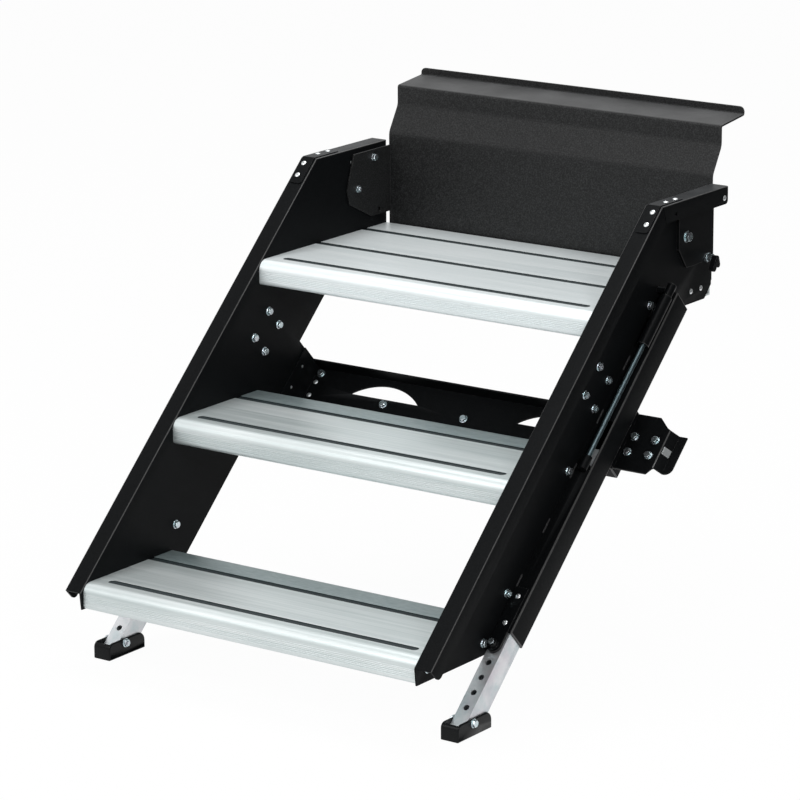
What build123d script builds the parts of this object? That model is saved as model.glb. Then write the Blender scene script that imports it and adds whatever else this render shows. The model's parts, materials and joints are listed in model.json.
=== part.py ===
from build123d import *
from math import atan2, cos, hypot, sin, tan
import os

# A three-tread entry step for a camper door, folded sheet and extruded treads.
# Origin: centre of the doorway bolt pattern, on the back face of the header panel.
# +X is to the right of a person who faces the door, +Y goes into the camper, +Z is up.

# Steps
rise = 204.0
run = 218.0
clear_width = 604.5
tread_height = 38.3
plank_depth = 212.0
top_depth = 336.0
top_tread_above_mount = 79.0
ground_below_bottom_tread = 136.0

# Tread extrusion
tread_wall = 3.0
tread_end_gap = 0.2
nose_round = 16.0
nose_low_round = 5.0
heel_round = 2.0
groove_width = 14.0
groove_depth = 1.6
front_groove_end = 22.0
plank_grooves = [35.0, 160.0]
top_grooves = [35.0, 152.0, 275.0]
nose_line_pitch = 2.6
nose_line_depth = 0.4
boss_radius = 6.5
boss_bore = 3.1
boss_below_top = 20.0
front_boss_back = 22.0
tread_bolt_length = 20.0

# Header panel
header_side_gap = 1.75
header_sheet = 2.5
rear_gap = 5.0
header_bottom = -40.0
header_bend = 225.0
header_lean = 24.0
header_lean_height = 41.0
header_neck_height = 31.0
header_roof_depth = 68.0
header_roof_rise = 7.5
header_lip = 11.0
header_lip_round = 8.0
header_lean_radius = 20.0
header_bend_radius = 2.0
header_cut_high = 62.0
header_cut_low = 25.0
header_cut_margin = 30.5
door_hole_radius = 4.5
door_hole_span = 400.0
door_hole_height = 40.0

# Stringers
sheet = 2.5
nose_overhang = 7.4
flange_width = 29.4
lip_depth = 27.0
lip_round = 9.0
flange_past_nose = 18.5
web_depth = 173.0
web_above_tread = 134.0
web_below_tread = 0.7
toe_setback = 3.0
tab_below_tread = 40.0
tab_chamfer = 20.0
gusset_low = 168.0
gusset_high = 266.0
gusset_depth = 219.0
gusset_taper = 18.0
lip_hole_radius = 3.0
lip_hole_drop = 17.0
lip_hole_back = 38.0
lip_rear_round = 6.0
lip_rivet_ahead = 10.0
corner_gap = 1.0
corner_gap_start = 5.0

# Corner caps
cap_sheet = 1.6
cap_down = 50.0
cap_back = 64.0
cap_inner = 4.0
cap_outer = 26.0
cap_round = 4.0
cap_rivet_side = 18.0
cap_rivet_downs = [12.0, 35.0]
cap_rivet_backs = [27.0, 53.0]

# Hinge of the folding frame
pivot_to_header = 87.5
pivot_above_tread = 68.5
pivot_radius = 5.0
pivot_thread_radius = 3.0
pivot_hex_radius = 7.5
pivot_hex_height = 6.0
pivot_flange_radius = 9.0
pivot_nut_height = 3.5
running_clearance = 0.05
fit_clearance = 0.1
move_clearance = 0.3
seat_clearance = 0.5
bush_wall = 1.5
bush_flange = 1.2
bush_flange_radius = 9.0
ear_front = 28.0
ear_nose_cut = 6.0
ear_half_nose = 22.0
ear_low = 50.0
ear_low_front = 36.0
ear_high = 57.0
ear_high_front = -10.0
ear_screw_back = 41.5
ear_screw_up = 44.5
hinge_plate_thickness = 5.0
hinge_plate_front = 19.5
hinge_plate_low = 48.5
hinge_plate_rear_gap = 4.0
hinge_plate_corner = 22.0
hinge_plate_corner_rise = 31.0

# Latches
latch_back = 57.0
latch_drop = 42.0
latch_pin_radius = 3.5
latch_stem_radius = 2.0
latch_travel = 6.0
barrel_radius = 6.0
barrel_guide = 3.0
barrel_length = 20.0
barrel_end_wall = 3.0
barrel_wall = 1.5
barrel_hex_radius = 8.0
barrel_hex_height = 5.0
collar_length = 2.0
knob_gap = 1.0
knob_length = 8.0
knob_radius = 4.6
knob_round = 1.2
knob_lobes = [(3.0, -10.0), (-8.0, -14.5)]

# Springs of the latches and the leg locks
spring_wire = 0.5
spring_turns = 3

# Box rails and legs
rail_width = 28.0
rail_wall = 2.5
rail_front = 131.0
rail_top = 433.0
leg_gap = 0.5
leg_wall = 2.0
leg_top = 150.0
leg_end_past_bolt = 14.0
leg_end_drop = 8.5
leg_travel = 76.2
hole_pitch = 25.4
leg_hole_radius = 4.6
leg_hole_count = 5

# Leg locks
lock_at = -196.0
lock_plate_thickness = 4.0
lock_plate_top = -98.0
lock_plate_width = 22.0
lock_rivets_at = [-113.0, -158.0]
lock_pin_radius = 3.5
lock_stem_radius = 2.5
lock_travel = 4.0
lock_housing_radius = 6.5
lock_housing_wall = 2.0
lock_housing_height = 8.5
lock_head_radius = 4.5
lock_head_height = 2.5

# Feet
foot_front = 37.0
foot_rear = 47.0
foot_height = 26.0
foot_width = 31.0
foot_bolt_height = 20.0
foot_bolt_depth = 10.0
foot_bolt_radius = 3.0
foot_front_round = 9.0
foot_rear_round = 14.0
foot_edge_round = 2.0
foot_bottom_round = 1.5
foot_sole = 3.5
foot_front_wall = 4.0

# Struts
strut_side = 22.0
strut_depth = 121.0
rod_radius = 4.0
strut_radius = 9.0
strut_low = 328.0
strut_gland = 5.0
piston_length = 3.0
piston_clearance = 0.1
strut_end_clearance = 1.0
strut_end_wall = 3.0
strut_wall = 1.4
end_fitting_low = 106.0
end_fitting_length = 22.0
end_fitting_radius = 7.0
end_stem_radius = 4.5
top_fitting_length = 22.0
top_post_radius = 5.0
slot_play = 1.0

# Cross member
cross_depth = 246.0
cross_flange_front = 220.0
cross_low_flange = 20.0
cross_tab_front = 190.0
hand_hole_side = 156.0
hand_hole_width = 128.0
hand_hole_base = 228.5
hand_hole_rise = 24.0
cross_bolt_edge = 12.25
cross_rivet_edge = 9.25
cross_bolts_at = [(clear_width / 2 - cross_bolt_edge, 254.0), (152.0, 219.0), (0.0, 219.0)]
cross_rivets_at = [(clear_width / 2 - cross_rivet_edge, 238.0), (clear_width / 2 - cross_rivet_edge, 213.0)]
gusset_rivets_at = [(200.0, 205.0), (240.0, 205.0)]

# Ear brackets
ear_plate_depth = 218.5
ear_plate_reach = 68.0
ear_step_reach = 78.0
ear_step_depth = 232.5
ear_end_reach = 91.5
ear_flange_depth = 180.0
ear_chamfer_start = 44.0
ear_chamfer_end = 62.0
ear_chamfer_drop = 15.0
ear_low_reach = 60.0
ear_arm_low = 181.0
ear_arm_high = 248.0
ear_arm_round = 12.0
ear_bolt_sides = [16.0, 52.0]
ear_bolts_at = [199.0, 226.0]
pad_low = 207.0
pad_height = 12.0
pad_thickness = 3.0
pad_margin = 2.0

# Fasteners
bolt_radius = 3.0
hex_radius = 5.8
hex_height = 4.5
hex_bevel = 1.2
washer_radius = 6.8
washer_height = 1.2
nut_height = 5.0
bolt_end = 2.0
rivet_radius = 2.4
rivet_head_radius = 4.4
rivet_head_height = 1.8
hinge_rivets_from_pivot = [(43.0, 44.5), (-12.0, 44.5)]
hand_rail_rows = [201.0, 252.0]
hand_rail_columns = [72.0, 108.0]
web_bolt_at = (-117.0, 117.0)
tab_rivets_ahead = [30.5, 58.5]
tab_rivet_above = 18.5
cut_reach = 10.0

# Positions that follow from the sizes
half_clear = clear_width / 2
header_half_width = half_clear - header_side_gap
header_side = -header_side_gap
slope = atan2(rise, run)
step_pitch = hypot(rise, run)
header_face = -header_sheet
rear_edge = header_face - rear_gap
depths = [plank_depth, plank_depth, top_depth]
web_top = top_tread_above_mount + web_above_tread
pivot_y = header_face - pivot_to_header
pivot_z = top_tread_above_mount + pivot_above_tread
latch_y = pivot_y + latch_back
latch_z = pivot_z - latch_drop
leg_side = (sheet + leg_gap, sheet + rail_width - rail_wall - leg_gap)
leg_deep = (rail_front + rail_wall + leg_gap, web_depth - rail_wall - leg_gap)
leg_middle = sum(leg_side) / 2


def nose_y(step):
    """Front of a tread's nose; step 0 is the bottom one."""
    return rear_edge - top_depth - (2 - step) * run


def level(step):
    """Top face of a tread."""
    return top_tread_above_mount - (2 - step) * rise


datum_y = nose_y(1) + nose_overhang
datum_z = level(1)
web_bottom = level(0) - tread_height - web_below_tread
ground = level(0) - ground_below_bottom_tread


def on_slope(along, deep):
    """Point (y, z) at a distance along the slope and at a depth square to the flange face."""
    y = datum_y + along * cos(slope) + deep * sin(slope)
    z = datum_z + along * sin(slope) - deep * cos(slope)
    return y, z


def along_at(height, deep):
    """Distance along the slope where a line at this depth reaches a height."""
    return (height - datum_z + deep * cos(slope)) / sin(slope)


# In this plane x is X, y runs up the slope and z comes out of the flange face.
slope_plane = Plane(origin=(0, datum_y, datum_z), x_dir=(1, 0, 0), z_dir=(0, -sin(slope), cos(slope)))


def slope_box(side, along, deep):
    """Box square to the slope; side, along and deep are (from, to) pairs, side from the web's inner face."""
    size = [abs(pair[1] - pair[0]) for pair in (side, along, deep)]
    centre = Pos(half_clear + sum(side) / 2, sum(along) / 2, -sum(deep) / 2)
    return slope_plane * (centre * Box(*size))


def slope_post(side, along, deep, radius):
    """Round bar square to the flange face, between two depths."""
    height = deep[1] - deep[0]
    return slope_plane * (Pos(half_clear + side, along, -sum(deep) / 2) * Cylinder(radius, height))


def slope_bar(side, deep, along, radius):
    """Round bar that runs up the slope, between two distances."""
    turn = Rot(90, 0, 0)
    return slope_plane * (Pos(half_clear + side, sum(along) / 2, -deep) * turn * Cylinder(radius, along[1] - along[0]))


def cross_bar(y, z, side, radius):
    """Round bar along X, between two distances from the web's inner face."""
    middle = half_clear + sum(side) / 2
    return Pos(middle, y, z) * Rot(0, 90, 0) * Cylinder(radius, side[1] - side[0])


def rounded(points, rounds):
    """Face with an outline; rounds gives the radius of some of its corners, by their number."""
    face = make_face(Polyline(*points, close=True))
    for number, radius in rounds.items():
        face = fillet(face.vertices().sort_by_distance((*points[number], 0))[0], radius)
    return face


def side_plate(points, side, rounds={}):
    """Flat plate with an outline in (y, z)."""
    face = Plane.YZ.offset(half_clear + side[0]) * rounded(points, rounds)
    return extrude(face, amount=side[1] - side[0])


def outward(y, z, side):
    """Place on a web for something that points out of it, along +X."""
    return Plane(origin=(half_clear + side, y, z), x_dir=(0, 1, 0), z_dir=(1, 0, 0))


def inward(y, z, side):
    """Place on a web for something that points to the middle of the step."""
    return Plane(origin=(half_clear + side, y, z), x_dir=(0, 1, 0), z_dir=(-1, 0, 0))


def up_slope(side, along, deep):
    """Place square to the slope, pointing out of the flange face."""
    return slope_plane * Pos(half_clear + side, along, -deep)


def hex_bolt(grip, radius=bolt_radius, head=hex_radius, head_height=hex_height, flange=washer_radius):
    """Flanged hexagon bolt: the seat is at z = 0, the head above it and the shank below it."""
    seat = Pos(0, 0, washer_height / 2) * Cylinder(flange, washer_height)
    height = head_height + washer_height
    hexagon = extrude(RegularPolygon(head, 6), amount=height)
    bevel = Cone(head - hex_bevel + height, head - hex_bevel, height, align=(Align.CENTER, Align.CENTER, Align.MIN))
    shank = Pos(0, 0, -grip / 2) * Cylinder(radius, grip)
    return seat + (hexagon & bevel) + shank


def hex_nut(radius=bolt_radius, across=hex_radius, height=nut_height, flange=washer_radius):
    """Flanged nut on a bolt: the seat is at z = 0 and the nut above it."""
    seat = Pos(0, 0, washer_height / 2) * Cylinder(flange, washer_height)
    body = seat + extrude(RegularPolygon(across, 6), amount=height)
    return body - Cylinder(radius + fit_clearance, 3 * height)


def rivet(grip, head_height=rivet_head_height):
    """Domed rivet: the dome above z = 0 and the shank below it."""
    ball = (rivet_head_radius**2 + head_height**2) / (2 * head_height)
    dome = Pos(0, 0, head_height - ball) * Sphere(ball)
    cap = dome & (Pos(0, 0, head_height / 2) * Cylinder(rivet_head_radius, head_height))
    return cap + Pos(0, 0, -grip / 2) * Cylinder(rivet_radius, grip)


def coil(radius, wire, length, turns):
    """Compression spring that stands on z = 0."""
    path = Helix(pitch=(length - 2 * wire) / turns, height=length - 2 * wire, radius=radius)
    section = Plane(origin=path @ 0, z_dir=path % 0) * Circle(wire)
    return Pos(0, 0, wire) * sweep(section, path, is_frenet=True)


def group(pieces):
    """Separate solids kept together in one node."""
    return Compound(children=[solid for piece in pieces for solid in piece.solids()])


def both(pieces):
    """A node's solids on the right and their mirror images on the left."""
    return group(list(pieces) + [mirror(piece, about=Plane.YZ) for piece in pieces])


nodes = {}


def pair(name, piece):
    """Right-hand piece and its mirror image, in nodes of their own."""
    nodes[name + "_right"] = piece
    nodes[name + "_left"] = mirror(piece, about=Plane.YZ)


# Places of the fasteners on a web, as (y, z)


def tread_bolt_places():
    """Front and rear bolt of each tread; the rear one stays clear of the rail."""
    places = []
    for step in range(3):
        height = level(step) - boss_below_top
        rear = on_slope(along_at(height, tread_rear_depth), tread_rear_depth)
        places.append((nose_y(step) + front_boss_back, height))
        places.append(rear)
    return places


tread_rear_depth = rail_front - lock_plate_thickness - washer_radius - 3 * seat_clearance
ear_screw_place = (pivot_y + ear_screw_back, pivot_z + ear_screw_up)
rear_boss_back = on_slope(along_at(level(1) - boss_below_top, tread_rear_depth), tread_rear_depth)[0] - nose_y(1)
hand_rail_places = [on_slope(row, column) for row in hand_rail_rows for column in hand_rail_columns]
web_bolt_place = on_slope(*web_bolt_at)
tab_low = level(2) - tab_below_tread
tab_rivet_places = [(rear_edge - ahead, tab_low + tab_rivet_above) for ahead in tab_rivets_ahead]
hinge_rivet_places = [(pivot_y + back, pivot_z + up) for back, up in hinge_rivets_from_pivot]
gusset_rivet_places = [on_slope(along, deep) for along, deep in gusset_rivets_at]
rail_low = along_at(web_bottom, web_depth)
lip_rivet_place = (rear_edge - lip_rivet_ahead, web_top - lip_hole_drop)


def corner(deep):
    """Where the slope flange meets the top flange, at a depth inside both faces."""
    return on_slope(along_at(web_top - deep, deep), deep)


def flange_band(deep):
    """Outline of what lies within a depth of the slope face and of the top face."""
    low = -step_pitch - flange_past_nose
    return [on_slope(low, 0), corner(0), (rear_edge, web_top), (rear_edge, web_top - deep), corner(deep), on_slope(low, deep)]


def corner_slot():
    """Gap between the slope's flange and lip and those of the top, under the corner cap."""
    high = corner(-sheet)
    low = corner(lip_depth + sheet)
    outline = [high, (high[0] + corner_gap, high[1]), (low[0] + corner_gap, low[1]), low]
    return side_plate(outline, (corner_gap_start, flange_width + sheet))


def stringer():
    """Folded sheet: web, outward flange along the slope and the top, and a return lip."""
    toe = on_slope(-step_pitch - flange_past_nose, 0)
    web = [
        toe,
        corner(0),
        (rear_edge, web_top),
        (rear_edge, tab_low + tab_chamfer),
        (rear_edge - tab_chamfer, tab_low),
        on_slope(along_at(tab_low, web_depth), web_depth),
        on_slope(gusset_high, web_depth),
        on_slope(gusset_high, gusset_depth),
        on_slope(gusset_low, gusset_depth),
        on_slope(gusset_low - gusset_taper, web_depth),
        on_slope(rail_low, web_depth),
        (toe[0] + toe_setback, web_bottom),
    ]
    body = side_plate(web, (0, sheet))
    body += side_plate(flange_band(sheet), (0, flange_width))
    body += side_plate(flange_band(lip_depth), (flange_width - sheet, flange_width), {5: lip_round, 3: lip_rear_round})
    through = (-sheet, 2 * sheet)
    cuts = [corner_slot()]
    cuts += [cross_bar(y, z, through, bolt_radius + fit_clearance) for y, z in tread_bolt_places()]
    cuts += [cross_bar(y, z, through, bolt_radius + fit_clearance) for y, z in hand_rail_places]
    cuts.append(cross_bar(*web_bolt_place, through, bolt_radius + fit_clearance))
    for y, z in tab_rivet_places + hinge_rivet_places + gusset_rivet_places:
        cuts.append(cross_bar(y, z, through, rivet_radius + fit_clearance))
    cuts.append(cross_bar(pivot_y, pivot_z, through, pivot_radius + bush_wall + fit_clearance))
    cuts.append(cross_bar(latch_y, latch_z, through, barrel_radius + fit_clearance))
    lip_reach = (flange_width - 2 * sheet, flange_width + sheet)
    cuts.append(cross_bar(corner(0)[0] + lip_hole_back, web_top - lip_hole_drop, lip_reach, lip_hole_radius))
    cuts.append(cross_bar(*lip_rivet_place, lip_reach, rivet_radius + fit_clearance))
    cuts.append(cross_bar(*strut_post_place(), through, rivet_radius + fit_clearance))
    for place in cap_rivet_planes():
        cuts.append(place * Cylinder(rivet_radius + fit_clearance, 6 * sheet))
    return body - cuts


def strut_top():
    """Upper end of a strut's body: gland, chamber for the whole travel, and end wall."""
    return strut_low + strut_gland + leg_travel + piston_length + strut_end_clearance + strut_end_wall


def strut_post_place():
    """Where the strut's upper fitting meets the web."""
    return on_slope(strut_top() + top_fitting_length / 2, strut_depth)


def cap_rivet_planes():
    """Places of the four rivets of a corner cap, on its outer face."""
    start = along_at(web_top, 0)
    places = [up_slope(cap_rivet_side, start - down, -cap_sheet) for down in cap_rivet_downs]
    for back in cap_rivet_backs:
        origin = (half_clear + cap_rivet_side, corner(0)[0] + back, web_top + cap_sheet)
        places.append(Plane(origin=origin, x_dir=(1, 0, 0), z_dir=(0, 0, 1)))
    return places


def corner_cap():
    """Bent plate over the corner of the two flanges."""
    start = along_at(web_top, 0)
    outline = [
        on_slope(start - cap_down, 0),
        corner(0),
        (corner(0)[0] + cap_back, web_top),
        (corner(0)[0] + cap_back, web_top + cap_sheet),
        corner(-cap_sheet),
        on_slope(start - cap_down, -cap_sheet),
    ]
    plate = side_plate(outline, (cap_inner, cap_outer))
    corners = [edge for edge in plate.edges() if abs(edge.length - cap_sheet) < fit_clearance]
    holes = [place * Cylinder(rivet_radius + fit_clearance, 6 * sheet) for place in cap_rivet_planes()]
    return fillet(corners, cap_round) - holes


def tread(step, grooves):
    """Hollow extrusion with a rounded nose, top grooves, and bosses that take the end bolts."""
    depth = depths[step]
    outline = Rectangle(depth, tread_height, align=(Align.MIN, Align.MAX))
    outline = fillet(outline.vertices().sort_by_distance((0, 0, 0))[0], nose_round)
    outline = fillet(outline.vertices().sort_by_distance((0, -tread_height, 0))[0], nose_low_round)
    outline = fillet(outline.vertices().group_by(Axis.X)[-1], heel_round)
    bosses = [front_boss_back, rear_boss_back]
    walls = [tread_wall] + sorted(bosses + grooves[2:]) + [depth - tread_wall]
    for before, after in zip(walls[:-1], walls[1:]):
        start = before + (tread_wall / 2 if before != tread_wall else 0)
        end = after - (tread_wall / 2 if after != depth - tread_wall else 0)
        chamber = Rectangle(end - start, tread_height - 2 * tread_wall, align=(Align.MIN, Align.MAX))
        front_top = chamber.vertices().sort_by_distance((0, 0, 0))[0]
        if before == tread_wall:
            chamber = fillet(front_top, nose_round - tread_wall)
        corners = chamber.vertices().group_by(Axis.X)[-1] + chamber.vertices().group_by(Axis.Y)[0]
        chamber = fillet(set(corners), heel_round)
        outline -= Pos(start, -tread_wall) * chamber
    for back in bosses:
        outline += Pos(back, -boss_below_top) * Circle(boss_radius)
        outline -= Pos(back, -boss_below_top) * Circle(boss_bore)
    lines = int((tread_height - nose_round - nose_low_round) / nose_line_pitch)
    for line in range(lines):
        height = -nose_round - (line + 0.5) * nose_line_pitch
        outline -= Pos(0, height) * Rot(0, 0, 45) * Rectangle(2 * nose_line_depth, 2 * nose_line_depth)
    for back in grooves[1:]:
        outline -= Pos(back, 0) * Rectangle(groove_width, 2 * groove_depth)
    half = half_clear - tread_end_gap
    face = Plane(origin=(-half, nose_y(step), level(step)), x_dir=(0, 1, 0), z_dir=(1, 0, 0)) * outline
    plank = extrude(face, amount=2 * half)
    front_groove = Box(2 * (half_clear - front_groove_end), groove_width, 2 * groove_depth)
    front_groove = fillet(front_groove.edges().filter_by(Axis.Z), groove_width / 2 - fit_clearance)
    return plank - Pos(0, nose_y(step) + grooves[0], level(step)) * front_groove


def header_profile():
    """Outline of the header sheet, as (y, z), from its bottom edge to the rear lip."""
    neck = header_face + header_lean
    bend = header_bend
    shoulder = bend + header_lean_height
    roof = shoulder + header_neck_height
    rear = neck + header_roof_depth
    back = header_sheet
    lower = back * tan(atan2(header_lean, header_lean_height) / 2)
    return [
        (header_face, header_bottom),
        (header_face, bend),
        (neck, shoulder),
        (neck, roof),
        (rear - back, roof + header_roof_rise),
        (rear - back, roof + header_roof_rise + header_lip),
        (rear, roof + header_roof_rise + header_lip),
        (rear, roof + header_roof_rise - back),
        (neck + back, roof - back),
        (neck + back, shoulder - lower),
        (header_face + back, bend - lower),
        (header_face + back, header_bottom),
    ]


def header_front():
    """Outline of the header panel from the front, with its lower corners cut back."""
    _, roof = header_profile()[6]
    low_side = door_hole_span / 2 + header_cut_margin
    half = [
        (low_side, header_bottom),
        (low_side, header_cut_low),
        (header_half_width, header_cut_high),
        (header_half_width, roof),
    ]
    outline = half + [(-side, height) for side, height in reversed(half)]
    face = Plane.XZ * rounded(outline, {3: header_lip_round, 4: header_lip_round})
    return extrude(face, amount=header_lean + header_roof_depth + cut_reach, both=True)


def header_panel():
    """Door-side panel with a bent ear at each side that carries the pivot."""
    soft = header_lean_radius
    tight = header_bend_radius
    rounds = {1: soft + header_sheet, 2: soft, 3: tight + header_sheet, 4: tight}
    rounds |= {7: tight + header_sheet, 8: tight, 9: soft + header_sheet, 10: soft}
    face = Plane.YZ.offset(-header_half_width) * rounded(header_profile(), rounds)
    panel = extrude(face, amount=2 * header_half_width) & header_front()
    ear = [
        (header_face, pivot_z - ear_low),
        (pivot_y + ear_low_front, pivot_z - ear_low),
        (pivot_y - ear_front + ear_nose_cut, pivot_z - ear_half_nose),
        (pivot_y - ear_front, pivot_z),
        (pivot_y - ear_front + ear_nose_cut, pivot_z + ear_half_nose),
        (pivot_y + ear_high_front, pivot_z + ear_high),
        (header_face, pivot_z + ear_high),
    ]
    plate = side_plate(ear, (header_side - header_sheet, header_side))
    reach = (header_side - 2 * header_sheet, header_side + header_sheet)
    plate -= cross_bar(pivot_y, pivot_z, reach, pivot_thread_radius + fit_clearance)
    plate -= cross_bar(*ear_screw_place, reach, bolt_radius + fit_clearance)
    plate -= cross_bar(latch_y, latch_z, reach, latch_pin_radius + move_clearance)
    panel += plate + mirror(plate, about=Plane.YZ)
    for side in (-1, 1):
        for height in (-1, 1):
            place = Pos(side * door_hole_span / 2, 0, height * door_hole_height / 2)
            panel -= place * Rot(90, 0, 0) * Cylinder(door_hole_radius, 6 * header_sheet)
    return panel


def hinge_plate():
    """Outer plate that thickens the web around the pivot and the latch."""
    front = pivot_y - hinge_plate_front
    low = pivot_z - hinge_plate_low
    rear = rear_edge - hinge_plate_rear_gap
    high = web_top - sheet - move_clearance
    outline = [
        (front, high),
        (front, low + hinge_plate_corner_rise),
        (front + hinge_plate_corner, low),
        (rear, low),
        (rear, high),
    ]
    side = (sheet, sheet + hinge_plate_thickness)
    plate = side_plate(outline, side)
    reach = (0, side[1] + sheet)
    plate -= cross_bar(pivot_y, pivot_z, reach, pivot_radius + bush_wall + fit_clearance)
    plate -= cross_bar(latch_y, latch_z, reach, barrel_radius + fit_clearance)
    holes = [cross_bar(y, z, reach, rivet_radius + fit_clearance) for y, z in hinge_rivet_places]
    return plate - holes


def pivot_bush():
    """Flanged bush in the web and the hinge plate."""
    outer = sheet + hinge_plate_thickness
    bush = cross_bar(pivot_y, pivot_z, (0, outer), pivot_radius + bush_wall)
    bush += cross_bar(pivot_y, pivot_z, (-bush_flange, 0), bush_flange_radius)
    return bush - cross_bar(pivot_y, pivot_z, (-sheet, outer + sheet), pivot_radius + running_clearance)


def pivot_bolt():
    """Shoulder bolt held in the header's ear; the frame turns on its shoulder."""
    seat = sheet + hinge_plate_thickness + move_clearance
    shoulder = seat - header_side
    thread = header_sheet + pivot_nut_height + bolt_end
    bolt = hex_bolt(shoulder, pivot_radius, pivot_hex_radius, pivot_hex_height, pivot_flange_radius)
    bolt += Pos(0, 0, -shoulder - thread / 2) * Cylinder(pivot_thread_radius, thread)
    return outward(pivot_y, pivot_z, seat) * bolt


def pivot_nut():
    """Low nut inside the ear."""
    nut = hex_nut(pivot_thread_radius, height=pivot_nut_height, flange=hex_radius)
    return inward(pivot_y, pivot_z, header_side - header_sheet) * nut


def ear_screw():
    """Second screw of the ear, above and behind the pivot, with its head inside."""
    screw = hex_bolt(header_sheet, bolt_radius, flange=hex_radius)
    return inward(*ear_screw_place, header_side - header_sheet) * screw


def latch_barrel():
    """Threaded housing of the latch, with a guide at the web and a wall at its outer end."""
    plate = sheet + hinge_plate_thickness
    barrel = cross_bar(latch_y, latch_z, (0, barrel_length), barrel_radius)
    collar = extrude(RegularPolygon(barrel_hex_radius, 6), amount=barrel_hex_height)
    barrel += outward(latch_y, latch_z, plate) * collar
    chamber = (barrel_guide, barrel_length - barrel_end_wall)
    barrel -= cross_bar(latch_y, latch_z, chamber, barrel_radius - barrel_wall)
    barrel -= cross_bar(latch_y, latch_z, (-sheet, barrel_guide + sheet), latch_pin_radius + running_clearance)
    stem = (barrel_guide, barrel_length + sheet)
    return barrel - cross_bar(latch_y, latch_z, stem, latch_stem_radius + running_clearance)


def latch_pin():
    """Plunger; its tip stops just short of the ear's outer face."""
    tip = header_side + move_clearance
    collar = (barrel_guide + move_clearance, barrel_guide + move_clearance + collar_length)
    pin = cross_bar(latch_y, latch_z, (tip, collar[0]), latch_pin_radius)
    pin += cross_bar(latch_y, latch_z, collar, barrel_radius - barrel_wall - move_clearance)
    return pin + cross_bar(latch_y, latch_z, (collar[1], barrel_length + knob_gap), latch_stem_radius)


def latch_knob():
    """Two-lobe knob on the plunger's outer end."""
    outline = Sketch() + Circle(knob_radius)
    for back, up in knob_lobes:
        lobe = Pos(back, up) * Circle(knob_radius)
        outline += make_hull(Circle(knob_radius).edges() + lobe.edges())
    knob = extrude(outline, amount=knob_length)
    outer = knob.faces().sort_by(Axis.Z)[-1].edges()
    knob = fillet(outer, knob_round)
    return outward(latch_y, latch_z, barrel_length + knob_gap) * knob


def latch_spring():
    """Coil between the plunger's collar and the barrel's end wall."""
    room = barrel_length - barrel_end_wall - barrel_guide - 2 * move_clearance - collar_length - latch_travel
    wire = spring_wire
    radius = barrel_radius - barrel_wall - move_clearance - wire
    end = barrel_length - barrel_end_wall
    return inward(latch_y, latch_z, end) * coil(radius, wire, room, spring_turns)


def rail():
    """Channel on the web's outer face, open below for the leg and slotted in front for the strut's end."""
    side = (sheet, sheet + rail_width)
    deep = (rail_front, web_depth)
    tube = slope_box(side, (rail_low, rail_top), deep)
    inner_side = (0, side[1] - rail_wall)
    inner_deep = (deep[0] + rail_wall, deep[1] - rail_wall)
    tube -= slope_box(inner_side, (rail_low - cut_reach, rail_top + cut_reach), inner_deep)
    stem = end_fitting_low + end_fitting_length / 2
    play = end_stem_radius + slot_play
    slot = (strut_side - play, strut_side + play)
    through = (rail_front - rail_wall, rail_front + 2 * rail_wall)
    tube -= slope_box(slot, (stem - play, stem + leg_travel + play), through)
    holes = [slope_post(leg_middle, place, through, rivet_radius + fit_clearance) for place in lock_rivets_at]
    return tube - holes


foot_bolt_deep = leg_deep[0] + foot_bolt_depth
foot_bolt_along = along_at(ground + foot_bolt_height, foot_bolt_deep)
foot_bolt_y, foot_bolt_z = on_slope(foot_bolt_along, foot_bolt_deep)


def leg():
    """Zinc tube with a row of lock holes in its front wall and its lower end cut level."""
    low = foot_bolt_along - leg_end_past_bolt
    tube = slope_box(leg_side, (low, leg_top), leg_deep)
    inner_side = (leg_side[0] + leg_wall, leg_side[1] - leg_wall)
    inner_deep = (leg_deep[0] + leg_wall, leg_deep[1] - leg_wall)
    tube -= slope_box(inner_side, (low - cut_reach, leg_top + cut_reach), inner_deep)
    through = (leg_deep[0] - leg_wall, leg_deep[0] + 2 * leg_wall)
    cuts = [slope_post(leg_middle, lock_at - index * hole_pitch, through, leg_hole_radius) for index in range(leg_hole_count)]
    cuts.append(cross_bar(foot_bolt_y, foot_bolt_z, (0, leg_side[1] + leg_wall), foot_bolt_radius + fit_clearance))
    below = Box(2 * rail_width, 2 * rail_width, rail_width, align=(Align.CENTER, Align.CENTER, Align.MAX))
    cuts.append(Pos(half_clear + leg_middle, foot_bolt_y, foot_bolt_z - leg_end_drop) * below)
    return tube - cuts


def lock_plate():
    """Plate on the rail's front face that carries the lock pin below the rail."""
    deep = (rail_front - lock_plate_thickness, rail_front)
    half = lock_plate_width / 2
    plate = slope_box((leg_middle - half, leg_middle + half), (lock_at, lock_plate_top), deep)
    plate += slope_post(leg_middle, lock_at, deep, half)
    top = deep[0] - lock_housing_height
    plate += slope_post(leg_middle, lock_at, (top, deep[0]), lock_housing_radius)
    wall = lock_housing_wall
    plate -= slope_post(leg_middle, lock_at, (top + wall, deep[1] - wall), lock_housing_radius - wall)
    plate -= slope_post(leg_middle, lock_at, (deep[0], deep[1] + wall), lock_pin_radius + running_clearance)
    plate -= slope_post(leg_middle, lock_at, (top - wall, deep[0]), lock_stem_radius + running_clearance)
    through = (deep[0] - wall, deep[1] + wall)
    holes = [slope_post(leg_middle, place, through, rivet_radius + fit_clearance) for place in lock_rivets_at]
    return plate - holes


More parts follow.
